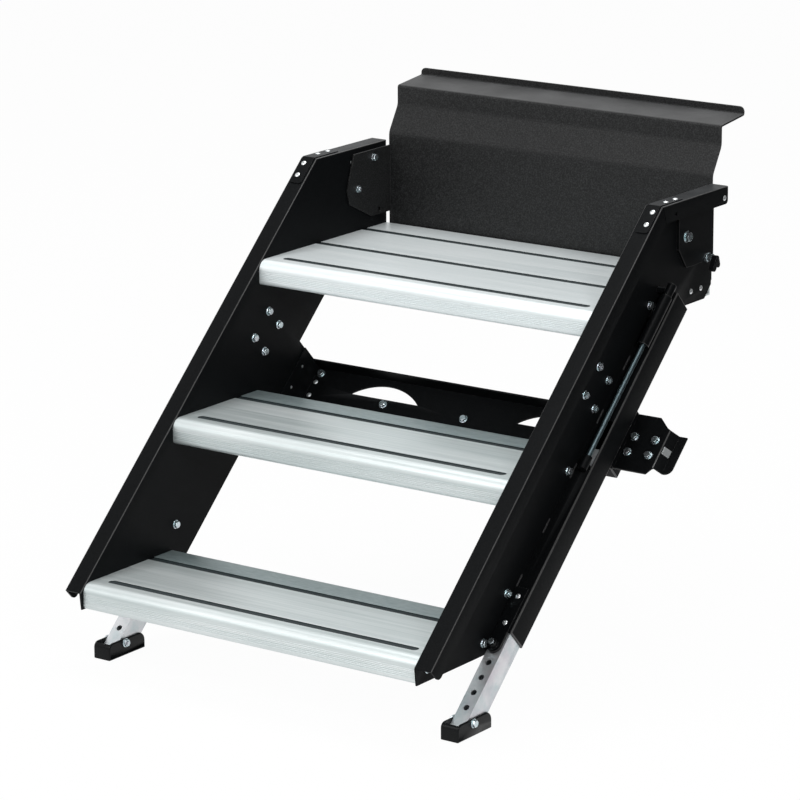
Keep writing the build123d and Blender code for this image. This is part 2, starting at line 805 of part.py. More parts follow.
def lock_pin():
    """Pin that drops into the leg's holes; its tip stops just short of the leg."""
    tip = leg_deep[0] - move_clearance
    inner = rail_front - lock_housing_wall - move_clearance
    top = rail_front - lock_plate_thickness - lock_housing_height
    pin = slope_post(leg_middle, lock_at, (inner, tip), lock_pin_radius)
    collar_radius = lock_housing_radius - lock_housing_wall - move_clearance
    pin += slope_post(leg_middle, lock_at, (inner - collar_length, inner), collar_radius)
    pin += slope_post(leg_middle, lock_at, (top - knob_gap, inner), lock_stem_radius)
    head = (top - knob_gap - lock_head_height, top - knob_gap)
    return pin + slope_post(leg_middle, lock_at, head, lock_head_radius)


def lock_spring():
    """Coil between the lock pin's collar and the housing's outer wall."""
    top = rail_front - lock_plate_thickness - lock_housing_height + lock_housing_wall
    collar = rail_front - lock_housing_wall - 2 * move_clearance - collar_length
    room = collar - top - lock_travel
    wire = spring_wire
    radius = lock_housing_radius - lock_housing_wall - move_clearance - wire
    return up_slope(leg_middle, lock_at, top) * Rot(180, 0, 0) * coil(radius, wire, room, spring_turns)


def foot():
    """Foot with a sole, a front wall and two cheeks; its slot for the leg is open at the rear."""
    front = foot_bolt_y - foot_front
    rear = foot_bolt_y + foot_rear
    outline = [(front, ground), (front, ground + foot_height), (rear, ground + foot_height), (rear, ground)]
    rounds = {0: foot_bottom_round, 1: foot_front_round, 2: foot_rear_round, 3: foot_bottom_round}
    body = side_plate(outline, (leg_middle - foot_width / 2, leg_middle + foot_width / 2), rounds)
    top_edges = body.edges().filter_by(Axis.Y).group_by(Axis.Z)[-1]
    body = fillet(top_edges, foot_edge_round)
    slot = leg_side[1] - leg_side[0] + 2 * leg_gap
    length = foot_front + foot_rear
    room = Box(slot, length, foot_height, align=(Align.CENTER, Align.MIN, Align.MIN))
    body -= Pos(half_clear + leg_middle, front + foot_front_wall, ground + foot_sole) * room
    return body - cross_bar(foot_bolt_y, foot_bolt_z, (-foot_width, 2 * foot_width), foot_bolt_radius + running_clearance)


def foot_bolt():
    """Bolt across the leg; the foot rocks on it."""
    outer = leg_middle + foot_width / 2 + move_clearance
    grip = foot_width + 2 * move_clearance + nut_height + bolt_end
    return outward(foot_bolt_y, foot_bolt_z, outer) * hex_bolt(grip, foot_bolt_radius)


def foot_nut():
    """Nut of the foot bolt, on the inner side."""
    inner = leg_middle - foot_width / 2 - move_clearance
    return inward(foot_bolt_y, foot_bolt_z, inner) * hex_nut(foot_bolt_radius)


def strut_body():
    """Cylinder of the leg strut, with a gland for the rod and a chamber for the piston."""
    top = strut_top()
    body = slope_bar(strut_side, strut_depth, (strut_low, top), strut_radius)
    chamber = (strut_low + strut_gland, top - strut_end_wall)
    body -= slope_bar(strut_side, strut_depth, chamber, strut_radius - strut_wall)
    gland = (strut_low - strut_gland, chamber[0] + strut_gland)
    return body - slope_bar(strut_side, strut_depth, gland, rod_radius + running_clearance)


def strut_rod():
    """Rod with its piston."""
    start = end_fitting_low + end_fitting_length
    piston = strut_low + strut_gland + seat_clearance
    rod = slope_bar(strut_side, strut_depth, (start, piston), rod_radius)
    piston_radius = strut_radius - strut_wall - piston_clearance
    return rod + slope_bar(strut_side, strut_depth, (piston, piston + piston_length), piston_radius)


def strut_end():
    """Fitting that joins the rod to the leg, through the rail's slot."""
    middle = end_fitting_low + end_fitting_length / 2
    along = (end_fitting_low, end_fitting_low + end_fitting_length)
    fitting = slope_bar(strut_side, strut_depth, along, end_fitting_radius)
    return fitting + slope_post(strut_side, middle, (strut_depth, leg_deep[0]), end_stem_radius)


def strut_mount():
    """Upper fitting of the strut, on a post from the web."""
    top = strut_top()
    fitting = slope_bar(strut_side, strut_depth, (top, top + top_fitting_length), end_fitting_radius)
    post = cross_bar(*strut_post_place(), (sheet, strut_side), top_post_radius)
    rivet_stub = cross_bar(*strut_post_place(), (0, sheet), rivet_radius)
    return fitting + post + rivet_stub


def hand_hole(side):
    """Half-moon opening with a flat base, as a tool that cuts through the cross member."""
    half = hand_hole_width / 2
    left = (side - half, hand_hole_base)
    right = (side + half, hand_hole_base)
    arc = ThreePointArc(left, (side, hand_hole_base + hand_hole_rise), right)
    face = make_face(arc + Line(right, left))
    return slope_plane * Pos(0, 0, -cross_depth - cut_reach) * extrude(face, amount=2 * cut_reach)


def cross_member():
    """Folded channel between the stringers, with two hand holes and a tab at each end."""
    width = (-clear_width, 0)
    along = (gusset_low, gusset_high)
    body = slope_box(width, along, (cross_depth - sheet, cross_depth))
    body += slope_box(width, (gusset_high - sheet, gusset_high), (cross_flange_front, cross_depth))
    body += slope_box(width, (gusset_low, gusset_low + sheet), (cross_depth - cross_low_flange, cross_depth))
    for side in ((-sheet, 0), (-clear_width, -clear_width + sheet)):
        body += slope_box(side, along, (cross_tab_front, cross_depth))
    cuts = [hand_hole(-hand_hole_side), hand_hole(hand_hole_side)]
    for place in cross_bolt_places():
        cuts.append(place * Cylinder(bolt_radius + fit_clearance, 4 * sheet))
    for place in cross_rivet_places():
        cuts.append(place * Cylinder(rivet_radius + fit_clearance, 4 * sheet))
    for y, z in gusset_rivet_places:
        cuts.append(cross_bar(y, z, (-2 * sheet, sheet), rivet_radius + fit_clearance))
        cuts.append(cross_bar(y, z, (-clear_width - sheet, -clear_width + 2 * sheet), rivet_radius + fit_clearance))
    return body - cuts


def cross_bolt_places():
    """Places on the cross member's front face."""
    places = []
    for side, along in cross_bolts_at:
        for sign in ([1, -1] if side else [1]):
            places.append(up_slope(sign * side - half_clear, along, cross_depth - sheet))
    return places


def cross_rivet_places():
    """Places of the small rivets near the ends of the cross member."""
    return [up_slope(sign * side - half_clear, along, cross_depth - sheet)
            for side, along in cross_rivets_at for sign in (1, -1)]


def ear_bracket():
    """Bent bracket behind each rail: flange on the gusset, bolted plate, step and end flange."""
    back = ear_plate_depth
    front = back - sheet
    slant = sheet * tan(atan2(ear_step_depth - ear_plate_depth, ear_step_reach - ear_plate_reach) / 2)
    section = [
        (sheet, ear_flange_depth),
        (2 * sheet, ear_flange_depth),
        (2 * sheet, front),
        (ear_plate_reach, front),
        (ear_step_reach, ear_step_depth - sheet),
        (ear_end_reach, ear_step_depth - sheet),
        (ear_end_reach, ear_step_depth),
        (ear_step_reach - slant, ear_step_depth),
        (ear_plate_reach - slant, back),
        (sheet, back),
    ]
    points = [(half_clear + side, -deep) for side, deep in section]
    face = make_face(Polyline(*points, close=True))
    upright = Plane(origin=(0, 0, 0), x_dir=(1, 0, 0), z_dir=(0, -1, 0))
    bent = Pos(0, gusset_high, 0) * extrude(upright * face, amount=gusset_high - gusset_low)
    outline = [
        (sheet, gusset_low),
        (sheet, gusset_high),
        (ear_chamfer_start, gusset_high),
        (ear_chamfer_end, gusset_high - ear_chamfer_drop),
        (ear_plate_reach, ear_arm_high),
        (ear_end_reach, ear_arm_high),
        (ear_end_reach, ear_arm_low),
        (ear_plate_reach, ear_arm_low),
        (ear_low_reach, gusset_low),
    ]
    flat = make_face(Polyline(*[(half_clear + side, along) for side, along in outline], close=True))
    corners = flat.vertices().sort_by_distance((half_clear + ear_end_reach, ear_arm_low, 0))
    flat = fillet(corners[0], ear_arm_round)
    trim = Pos(0, 0, -cross_depth - cut_reach) * extrude(flat, amount=cross_depth)
    bracket = slope_plane * (bent & trim)
    cuts = [place * Cylinder(bolt_radius + fit_clearance, 4 * sheet) for place in ear_bolt_places()]
    cuts += [cross_bar(y, z, (0, 3 * sheet), rivet_radius + fit_clearance) for y, z in gusset_rivet_places]
    return bracket - cuts


def ear_bolt_places():
    """Places on the front face of the ear bracket's plate."""
    return [up_slope(side, along, ear_plate_depth - sheet) for side in ear_bolt_sides for along in ear_bolts_at]


def bumper_pad():
    """Small pad on the ear bracket's step."""
    start = (ear_plate_reach, ear_plate_depth - sheet)
    end = (ear_step_reach, ear_step_depth - sheet)
    length = hypot(end[0] - start[0], end[1] - start[1])
    along = ((end[0] - start[0]) / length, (end[1] - start[1]) / length)

    def at(distance, lift):
        side = start[0] + distance * along[0] + lift * along[1]
        deep = start[1] + distance * along[1] - lift * along[0]
        return half_clear + side, -deep

    ends = (pad_margin, length - pad_margin)
    outline = [at(ends[0], 0), at(ends[1], 0), at(ends[1], pad_thickness), at(ends[0], pad_thickness)]
    face = make_face(Polyline(*outline, close=True))
    upright = Plane(origin=(0, 0, 0), x_dir=(1, 0, 0), z_dir=(0, -1, 0))
    return slope_plane * (Pos(0, pad_low + pad_height, 0) * extrude(upright * face, amount=pad_height))


def build():
    """Fill the nodes, one by one."""
    nodes["header_panel"] = header_panel()
    nodes["pivot_bolts"] = both([pivot_bolt()])
    nodes["pivot_nuts"] = both([pivot_nut()])
    nodes["ear_screws"] = both([ear_screw()])

    pair("stringer", stringer())
    pair("corner_cap", corner_cap())
    pair("hinge_plate", hinge_plate())
    nodes["pivot_bushes"] = both([pivot_bush()])
    grip = cap_sheet + sheet
    nodes["cap_rivets"] = both([place * rivet(grip) for place in cap_rivet_planes()])
    side = sheet + hinge_plate_thickness
    hinge_rivets = [outward(y, z, side) * rivet(side) for y, z in hinge_rivet_places]
    nodes["hinge_rivets"] = both(hinge_rivets)
    web_rivets = [outward(y, z, sheet) * rivet(sheet) for y, z in tab_rivet_places]
    web_rivets.append(outward(*lip_rivet_place, flange_width) * rivet(sheet))
    nodes["web_rivets"] = both(web_rivets)

    nodes["bottom_tread"] = tread(0, plank_grooves)
    nodes["middle_tread"] = tread(1, plank_grooves)
    nodes["top_tread"] = tread(2, top_grooves)
    places = tread_bolt_places()
    tread_bolt = hex_bolt(tread_bolt_length, boss_bore - fit_clearance)
    nodes["tread_bolts"] = both([outward(y, z, sheet) * tread_bolt for y, z in places])
    places = hand_rail_places + [web_bolt_place]
    nut_grip = sheet + nut_height + bolt_end
    nodes["hand_rail_bolts"] = both([inward(y, z, 0) * hex_bolt(nut_grip) for y, z in places])
    nodes["hand_rail_nuts"] = both([outward(y, z, sheet) * hex_nut() for y, z in places])

    nodes["cross_member"] = cross_member()
    nodes["cross_bolts"] = group([place * hex_bolt(nut_grip) for place in cross_bolt_places()])
    backs = [place * Pos(0, 0, -sheet) * Rot(180, 0, 0) for place in cross_bolt_places()]
    nodes["cross_nuts"] = group([back * hex_nut() for back in backs])
    nodes["cross_rivets"] = group([place * rivet(sheet) for place in cross_rivet_places()])
    stack = 3 * sheet
    nodes["gusset_rivets"] = both([outward(y, z, 2 * sheet) * rivet(stack) for y, z in gusset_rivet_places])
    pair("ear_bracket", ear_bracket())
    ear_places = ear_bolt_places()
    nodes["ear_bolts"] = both([place * hex_bolt(nut_grip) for place in ear_places])
    backs = [place * Pos(0, 0, -sheet) * Rot(180, 0, 0) for place in ear_places]
    nodes["ear_nuts"] = both([back * hex_nut() for back in backs])
    nodes["bumper_pads"] = both([bumper_pad()])

    pair("rail", rail())
    pair("lock_plate", lock_plate())
    lock_faces = [up_slope(leg_middle, place, rail_front - lock_plate_thickness) for place in lock_rivets_at]
    nodes["lock_plate_rivets"] = both([place * rivet(lock_plate_thickness + rail_wall) for place in lock_faces])
    nodes["lock_springs"] = both([lock_spring()])
    pair("strut_body", strut_body())
    nodes["strut_mounts"] = both([strut_mount()])
    nodes["latch_barrels"] = both([latch_barrel()])
    nodes["latch_springs"] = both([latch_spring()])

    pair("latch_pin", latch_pin())
    pair("latch_knob", latch_knob())
    pair("lock_pin", lock_pin())
    pair("leg", leg())
    pair("strut_rod", strut_rod())
    pair("strut_end", strut_end())
    pair("foot_bolt", foot_bolt())
    pair("foot_nut", foot_nut())
    pair("foot", foot())


build()
os.makedirs("parts", exist_ok=True)
for name, shape in nodes.items():
    export_step(shape, f"parts/{name}.step")
    print(name, len(shape.solids()), round(shape.volume, 1))
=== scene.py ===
# %% [markdown]
# A folding entry step for a camper door: three extruded aluminium treads between two folded
# steel stringers. The whole step swings up on two pivots beside the door panel, and two zinc
# legs slide in steel channels behind the stringers. The measured model is loaded first and
# nothing in it is moved. This script gives it its finishes and the small things that a press,
# a welder and a plating bath leave behind.

# %% Load the measured model
import json
from math import atan2, cos, degrees, radians, sin

import bmesh
import bpy
import numpy as np
from mathutils import Matrix, Vector

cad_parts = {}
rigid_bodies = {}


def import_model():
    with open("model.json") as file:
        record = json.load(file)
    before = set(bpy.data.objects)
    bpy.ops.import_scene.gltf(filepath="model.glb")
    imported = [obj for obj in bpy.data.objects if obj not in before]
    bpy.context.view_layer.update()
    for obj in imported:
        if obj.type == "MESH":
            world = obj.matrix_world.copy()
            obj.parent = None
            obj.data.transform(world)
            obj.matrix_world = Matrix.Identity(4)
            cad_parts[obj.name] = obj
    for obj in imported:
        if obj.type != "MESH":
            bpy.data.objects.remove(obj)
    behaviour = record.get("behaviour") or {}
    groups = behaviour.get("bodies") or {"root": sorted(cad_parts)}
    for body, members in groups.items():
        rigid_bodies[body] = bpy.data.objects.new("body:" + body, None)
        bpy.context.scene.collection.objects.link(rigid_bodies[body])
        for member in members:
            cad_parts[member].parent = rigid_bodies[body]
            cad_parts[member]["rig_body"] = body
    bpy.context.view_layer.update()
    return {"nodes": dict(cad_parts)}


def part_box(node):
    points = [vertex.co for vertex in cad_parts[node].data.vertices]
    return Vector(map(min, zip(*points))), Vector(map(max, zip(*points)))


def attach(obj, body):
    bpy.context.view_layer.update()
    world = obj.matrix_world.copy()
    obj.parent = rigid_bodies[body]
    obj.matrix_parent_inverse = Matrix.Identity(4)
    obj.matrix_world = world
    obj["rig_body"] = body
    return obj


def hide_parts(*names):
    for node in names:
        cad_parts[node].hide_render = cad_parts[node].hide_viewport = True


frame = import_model()
nodes = frame["nodes"]
MM = 0.001

# %% [markdown]
# The pieces are placed from a few sizes of the step itself. The slope runs along the noses of
# the treads, so one rise and one run give its direction. A short function then turns a
# distance up the slope and a depth below the flange into a place in space, which is easier to
# read than a list of coordinates.

# %% Sizes of the step
RISE, RUN = 204 * MM, 218 * MM
HALF_CLEAR = 302.25 * MM
NOSE_OVERHANG = 7.4 * MM
SLOPE = atan2(RISE, RUN)
UP_SLOPE = Vector((0, cos(SLOPE), sin(SLOPE)))
OUT = Vector((0, -sin(SLOPE), cos(SLOPE)))
middle_low, middle_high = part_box("middle_tread")
DATUM = Vector((0, middle_low.y + NOSE_OVERHANG, middle_high.z))


def on_slope(side, along, deep):
    """A place at a distance outside the web's inner face, up the slope and below the flange face."""
    return DATUM + Vector((HALF_CLEAR + side, 0, 0)) + UP_SLOPE * along - OUT * deep


print("slope in degrees:", round(degrees(SLOPE), 2))

# %% [markdown]
# The photograph looks down at the step from its right, with a long lens. A camera can be turned
# by three angles, but a direction and an upright are easier to read and to check. It stands a
# little over six metres from the doorway, which keeps the treads nearly parallel in the
# picture.

# %% Camera
CAMERA_PLACE = Vector((3.4012, -5.1365, 1.4660))
CAMERA_FORWARD = Vector((-0.5633, 0.7853, -0.2570)).normalized()
CAMERA_UP = Vector((-0.1460, 0.2116, 0.9664))
CAMERA_REACH = 100
LENS, SENSOR = 181.8, 36.0


def aimed(name, data, place, forward, up):
    """An object that looks along a direction, as cameras and lamps do."""
    made = bpy.data.objects.new(name, data)
    back = -forward.normalized()
    right = up.cross(back).normalized()
    turn = Matrix((right, back.cross(right), back)).transposed()
    made.matrix_world = Matrix.Translation(place) @ turn.to_4x4()
    bpy.context.scene.collection.objects.link(made)
    return made


camera_data = bpy.data.cameras.new("camera")
camera_data.lens, camera_data.sensor_width = LENS, SENSOR
camera_data.clip_end = CAMERA_REACH
bpy.context.scene.camera = aimed("camera", camera_data, CAMERA_PLACE, CAMERA_FORWARD, CAMERA_UP)
bpy.context.scene.view_settings.view_transform = "Standard"
print("camera is", round(CAMERA_PLACE.length, 2), "m from the doorway mount")

# %% [markdown]
# A finish is a small sum: a base colour, a little noise, a roughness that follows the noise.
# It could be drawn as boxes and wires, but written as plain sums it stays readable. So a socket
# is wrapped in a class whose operators add the Math nodes.

# %% Shader sums


class Value:
    """A socket that can be added, multiplied and compared like a number."""

    def __init__(self, owner, socket):
        self.owner, self.socket = owner, socket

    def _with(self, operation, *values):
        return self.owner.node("ShaderNodeMath", {"operation": operation}, values)[0]

    def __add__(self, other):
        return self._with("ADD", self, other)

    def __radd__(self, other):
        return self._with("ADD", other, self)

    def __sub__(self, other):
        return self._with("SUBTRACT", self, other)

    def __rsub__(self, other):
        return self._with("SUBTRACT", other, self)

    def __mul__(self, other):
        return self._with("MULTIPLY", self, other)

    def __rmul__(self, other):
        return self._with("MULTIPLY", other, self)

    def __gt__(self, other):
        return self._with("GREATER_THAN", self, other)

    def __lt__(self, other):
        return self._with("LESS_THAN", self, other)

    def clamped(self):
        """Kept between 0 and 1."""
        return self._with("MAXIMUM", self._with("MINIMUM", self, 1.0), 0.0)

    def between(self, low, high):
        """1 between two heights and 0 outside."""
        return (self > low) * (self < high)

    def above(self, start, gain):
        """How far it stands above a start, times a gain, kept between 0 and 1."""
        return ((self - start) * gain).clamped()

    def swing(self, width):
        """Noise turned into a change of a given width about nothing."""
        return (self - 0.5) * width


class Sockets:
    """The outputs of a node, by number or by name."""

    def __init__(self, owner, made):
        self.owner, self.made = owner, made

    def __getitem__(self, key):
        return Value(self.owner, self.made.outputs[key])


print("shader sums ready")

# %% [markdown]
# The floor, the world and every finish are trees of nodes. Adding each node by hand takes five
# lines and hides what matters, so one method takes a node's type, its settings and the values
# or links of its sockets. A finish is such a tree with its patterns on object coordinates,
# which keeps a pattern on its piece when the step folds.

# %% Trees of shader nodes


class Nodes:
    """A tree of shader nodes and the output it ends in."""

    def __init__(self, tree, output):
        self.tree = tree
        tree.nodes.clear()
        self.output = tree.nodes.new(output)

    def node(self, kind, settings=None, values=None):
        """Add a node: its type, its settings, then its sockets' values or links."""
        made = self.tree.nodes.new(kind)
        for key, value in (settings or {}).items():
            setattr(made, key, value)
        pairs = values.items() if isinstance(values, dict) else enumerate(values or [])
        for key, value in pairs:
            self.fill(made.inputs[key], value)
        return Sockets(self, made)

    def fill(self, socket, value):
        """Link a value to a socket, or write a number, a vector or a colour into it."""
        if isinstance(value, Value):
            self.tree.links.new(value.socket, socket)
        elif isinstance(socket.default_value, float):
            socket.default_value = value
        else:
            socket.default_value = (*value, 1)[: len(socket.default_value)]

    def end_in(self, shader):
        """Join a shader to the output."""
        self.tree.links.new(shader.socket, self.output.inputs[0])


class Finish(Nodes):
    """A material whose patterns lie on object coordinates."""

    def __init__(self, name):
        self.material = bpy.data.materials.new(name)
        self.material.use_nodes = True
        super().__init__(self.material.node_tree, "ShaderNodeOutputMaterial")
        self.place = self.node("ShaderNodeTexCoord")["Object"]
        parts = self.node("ShaderNodeSeparateXYZ", {}, [self.place])
        self.y, self.z = parts["Y"], parts["Z"]

    def noise(self, scale, detail, rough, stretch=(1, 1, 1)):
        """Noise on object coordinates; a stretch below 1 draws it out along that axis."""
        at = self.place
        if stretch != (1, 1, 1):
            at = self.node("ShaderNodeVectorMath", {"operation": "MULTIPLY"}, [at, stretch])[0]
        values = {"Vector": at, "Scale": scale, "Detail": detail, "Roughness": rough}
        return self.node("ShaderNodeTexNoise", {}, values)[0]

    def blend(self, share, first, second):
        """A colour between two colours."""
        return self.node("ShaderNodeMix", {"data_type": "RGBA"}, {0: share, 6: first, 7: second})[2]

    def bump(self, height, strength, distance):
        """A normal that a height tips."""
        values = {"Strength": strength, "Distance": distance, "Height": height}
        return self.node("ShaderNodeBump", {}, values)[0]

    def finished(self, **sockets):
        """Join the sockets to the surface shader and give back the material."""
        named = {key.replace("_", " ").title().replace("Ior", "IOR"): sockets[key] for key in sockets}
        self.end_in(self.node("ShaderNodeBsdfPrincipled", {}, named)[0])
        return self.material


print("node trees ready")

# %% [markdown]
# The stringers, channels, brackets and door panel are steel with a black powder coat. Powder is
# sprayed dry and melted, which leaves a fine orange peel. On the door panel it is a coarser
# texture that looks grainy in the photograph. A photograph of powder would repeat and blur, so
# a noise is used: a slightly lighter grain on a very dark base, with the bump from the same
# noise. The faces that look up are painted paler in patches, read from the surface's own
# normal: partly dust that settles there and partly a painted top light. Powder draws thin over
# an edge, so the rounded edges get a finish of their own, shinier and paler, the paleness partly
# thin coat and partly a painted highlight.

# %% Powder coat
FRAME_BLACK = (0.0028, 0.0032, 0.0036)
PANEL_BLACK = (0.0062, 0.0064, 0.0066)
PLATE_BLACK = (0.003, 0.0035, 0.004)
EDGE_HIGHLIGHT_GREY = (0.030, 0.030, 0.030)
PEEL_START, PEEL_DEPTH = 0.42, 0.4 * MM
PEEL_WEAR, DUST_WEAR = 0.12, 0.18
DUST_AND_LIGHT_START, DUST_AND_LIGHT_GAIN = 0.75, 4
GRAIN_PALE, GRAIN_LIFT = 4, 0.012
DUST_AND_LIGHT_PALE, DUST_AND_LIGHT_LIFT = 8, 0.06


def paler(colour, times, lift):
    """A paler shade of a dark colour."""
    return [v * times + lift for v in colour]


def powder_coat(name, base, grain_size, grain, rough, gloss):
    """Black powder: its peel shows as paler grain, and the faces that look up are paler, partly dust and
    partly a painted top light.
    """
    f = Finish(name)
    peel = f.noise(scale=1 / grain_size, detail=3, rough=0.6)
    dust = f.noise(scale=14, detail=4, rough=0.6)
    upward = f.node("ShaderNodeSeparateXYZ", {}, [f.node("ShaderNodeNewGeometry")["Normal"]])["Z"]
    colour = f.blend(peel.above(PEEL_START, grain), base, paler(base, GRAIN_PALE, GRAIN_LIFT))
    # Faces that look up are painted paler: partly dust, partly a painted top light.
    dust_and_top_light = ((upward - DUST_AND_LIGHT_START) * dust * DUST_AND_LIGHT_GAIN).clamped()
    colour = f.blend(dust_and_top_light, colour, paler(base, DUST_AND_LIGHT_PALE, DUST_AND_LIGHT_LIFT))
    worn = rough + dust.swing(DUST_WEAR) + peel.swing(PEEL_WEAR)
    normal = f.bump(peel, strength=0.3, distance=PEEL_DEPTH)
    return f.finished(base_color=colour, roughness=worn, specular_ior_level=gloss, normal=normal)


frame_coat = powder_coat("frame_coat", FRAME_BLACK, grain_size=1.1 * MM, grain=1.0, rough=0.44, gloss=0.045)
panel_coat = powder_coat("panel_coat", PANEL_BLACK, grain_size=1.9 * MM, grain=3.1, rough=0.47, gloss=0.20)
plate_coat = powder_coat("plate_coat", PLATE_BLACK, grain_size=0.9 * MM, grain=0.4, rough=0.34, gloss=0.14)
# The rounded edges' paler grey is partly thin coat and partly a painted highlight.
edge_highlight_coat = powder_coat("edge_highlight_coat", EDGE_HIGHLIGHT_GREY, grain_size=0.9 * MM, grain=0.6, rough=0.30, gloss=0.5)
print("powder coats:", frame_coat.name, panel_coat.name, plate_coat.name, edge_highlight_coat.name)

# %% [markdown]
# The treads are extruded aluminium, drawn through a die and brushed along their length. An
# anisotropic shader can give the same streak of light, but not the single lines, so the
# brushing is noise that is drawn out eighty times along X. It drives the roughness and the
# colour together, and the lines catch the light in the same places. Soft patches take a little
# of the shine away where the metal was handled.

# %% Brushed lines
BRIGHT_METAL = (0.86, 0.88, 0.885)
FINE_SHARE = 0.6
LINE_START, LINE_GAIN = 0.3, 1.6
PATCH_START, PATCH_GAIN, PATCH_SHADE = 0.42, 1.6, 0.90


def brushed_lines(f):
    """Fine and broad lines along the tread."""
    fine = f.noise(scale=230, detail=1, rough=0.5, stretch=(0.012, 1, 1))
    broad = f.noise(scale=95, detail=2, rough=0.5, stretch=(0.02, 1, 1))
    return fine * FINE_SHARE + broad * (1 - FINE_SHARE)


def brushed_metal(f, lines, tint):
    """The colour of brushed metal: bright lines on a tint, with duller patches."""
    patches = f.noise(scale=7, detail=2, rough=0.5, stretch=(0.5, 1, 1))
    metal = f.blend(lines.above(LINE_START, LINE_GAIN), tint, BRIGHT_METAL)
    return f.blend(patches.above(PATCH_START, PATCH_GAIN), metal, [v * PATCH_SHADE for v in tint])


print("brushed lines ready")

# %% [markdown]
# Grooves run along each tread for grip. They are painted nearly black with a hint of teal, as the
# shade inside them. The colour could come from a material of its own, but the grooves are part of
# one long piece, so masks find them: the distance behind the nose, and the height below the
# top face. On the two lower treads the metal behind the last groove is painted darker, as shade
# under the tread above, and finely lined. Half of the look of brushed metal is scattered light,
# so the shader isn't fully metallic.

# %% Finish the treads
GROOVE_HALF, GROOVE_EDGE, GROOVE_DEPTH = 7.6 * MM, 0.35 * MM, 3 * MM
PLANK_GROOVES = [35 * MM, 160 * MM]
TOP_GROOVES = [35 * MM, 152 * MM, 275 * MM]
TEAL_GROOVE_SHADE, REAR_SHADE_METAL = (0.004, 0.012, 0.014), (0.20, 0.28, 0.29)
HATCH_SHARE = 0.6
TREAD_ROUGH, LINE_WEAR, GROOVE_WEAR = 0.40, 0.24, 0.3
LINE_DEPTH = 0.2 * MM


def tread_finish(node, grooves, tint, rear_shade, metallic):
    """Brushed aluminium with grooves painted dark as their shade, at given distances behind the tread's nose.
    """
    low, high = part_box(node)
    f = Finish(node + "_aluminium")
    lines = brushed_lines(f)
    metal = brushed_metal(f, lines, tint)
    behind_nose = f.y - low.y
    rear = (behind_nose > grooves[-1]) * (f.z > high.z - GROOVE_EDGE)
    hatch = f.noise(scale=300, detail=2, rough=0.6, stretch=(0.25, 1, 1))
    hatched = (1 - HATCH_SHARE) + hatch * HATCH_SHARE
    # The lower treads' rear strip is painted darker, as shade under the tread above.
    metal = f.blend((rear * hatched * rear_shade).clamped(), metal, REAR_SHADE_METAL)
    strips = [behind_nose.between(place - GROOVE_HALF, place + GROOVE_HALF) for place in grooves]
    in_groove = strips[0]
    for strip in strips[1:]:
        in_groove = in_groove + strip
    # The groove mask paints the grooves dark, as the shade inside them.
    groove_shade_mask = in_groove * f.z.between(high.z - GROOVE_DEPTH, high.z - GROOVE_EDGE)
    worn = TREAD_ROUGH + lines.swing(LINE_WEAR) + groove_shade_mask * GROOVE_WEAR
    normal = f.bump(lines, strength=0.06, distance=LINE_DEPTH)
    return f.finished(base_color=f.blend(groove_shade_mask, metal, TEAL_GROOVE_SHADE), roughness=worn,
                      metallic=metallic * (1 - groove_shade_mask), normal=normal)


# All three treads are one aluminium: the top tread's paler tint is painted light, and the lower treads'
# darker tints are painted shade from the tread above.
tread_finishes = {
    "bottom_tread": tread_finish("bottom_tread", PLANK_GROOVES, (0.55, 0.62, 0.62), rear_shade=1.0, metallic=0.62),
    "middle_tread": tread_finish("middle_tread", PLANK_GROOVES, (0.54, 0.61, 0.61), rear_shade=1.0, metallic=0.62),
    "top_tread": tread_finish("top_tread", TOP_GROOVES, (0.78, 0.85, 0.86), rear_shade=0.0, metallic=0.42),
}
print("tread finishes:", len(tread_finishes))

# %% [markdown]
# Zinc plate is bright and a little blue, and its passivation layer drifts from mauve to teal.
# The legs and most fasteners have it. A thin-film setting would need the film's thickness, so
# soft patches of two tints over a light metal stand for it, with short scratches that the
# channels rub along the sliding legs.

# %% Zinc plate
MAUVE, TEAL = (0.60, 0.52, 0.58), (0.34, 0.50, 0.52)
MAUVE_START, TEAL_START = 0.45, 0.4
CLOUD_WEAR, SCRATCH_WEAR, MARK_DEPTH = 0.14, 0.08, 0.2 * MM
ALONG_LEG = (1, 0.06, 0.06)


def zinc(name, scale, strength, shine, rough, metallic, stretch=(1, 1, 1)):
    """Zinc plate with clouds of teal and mauve in its shine."""
    f = Finish(name)
    cloud = f.noise(scale, detail=3, rough=0.6)
    other = f.noise(scale * 0.6, detail=2, rough=0.5, stretch=(1.3, 0.9, 1.1))
    scratch = f.noise(scale=500, detail=2, rough=0.6, stretch=stretch)
    colour = f.blend(cloud.above(TEAL_START, strength), shine, TEAL)
    colour = f.blend(other.above(MAUVE_START, strength), colour, MAUVE)
    worn = rough + cloud * CLOUD_WEAR + scratch * SCRATCH_WEAR
    normal = f.bump(scratch + cloud, strength=0.12, distance=MARK_DEPTH)
    return f.finished(base_color=colour, roughness=worn, metallic=metallic, normal=normal)


leg_zinc = zinc("leg_zinc", scale=42, strength=1.6, shine=(0.74, 0.75, 0.77), rough=0.34, metallic=0.75,
                stretch=ALONG_LEG)
fastener_zinc = zinc("fastener_zinc", scale=150, strength=2.0, shine=(0.62, 0.70, 0.73), rough=0.13,
                     metallic=0.92)
rivet_zinc = zinc("rivet_zinc", scale=150, strength=0.6, shine=(0.84, 0.87, 0.88), rough=0.22, metallic=0.8)
print("zinc:", leg_zinc.name, fastener_zinc.name, rivet_zinc.name)

# %% [markdown]
# The strut's rod is ground steel, the pivots turn in bronze, the feet are rubber and the latch
# knobs are moulded plastic. None of them is large in the picture, so two short recipes cover
# them: a bare metal with a faint mark in it, and a moulded black with paler scuffs.

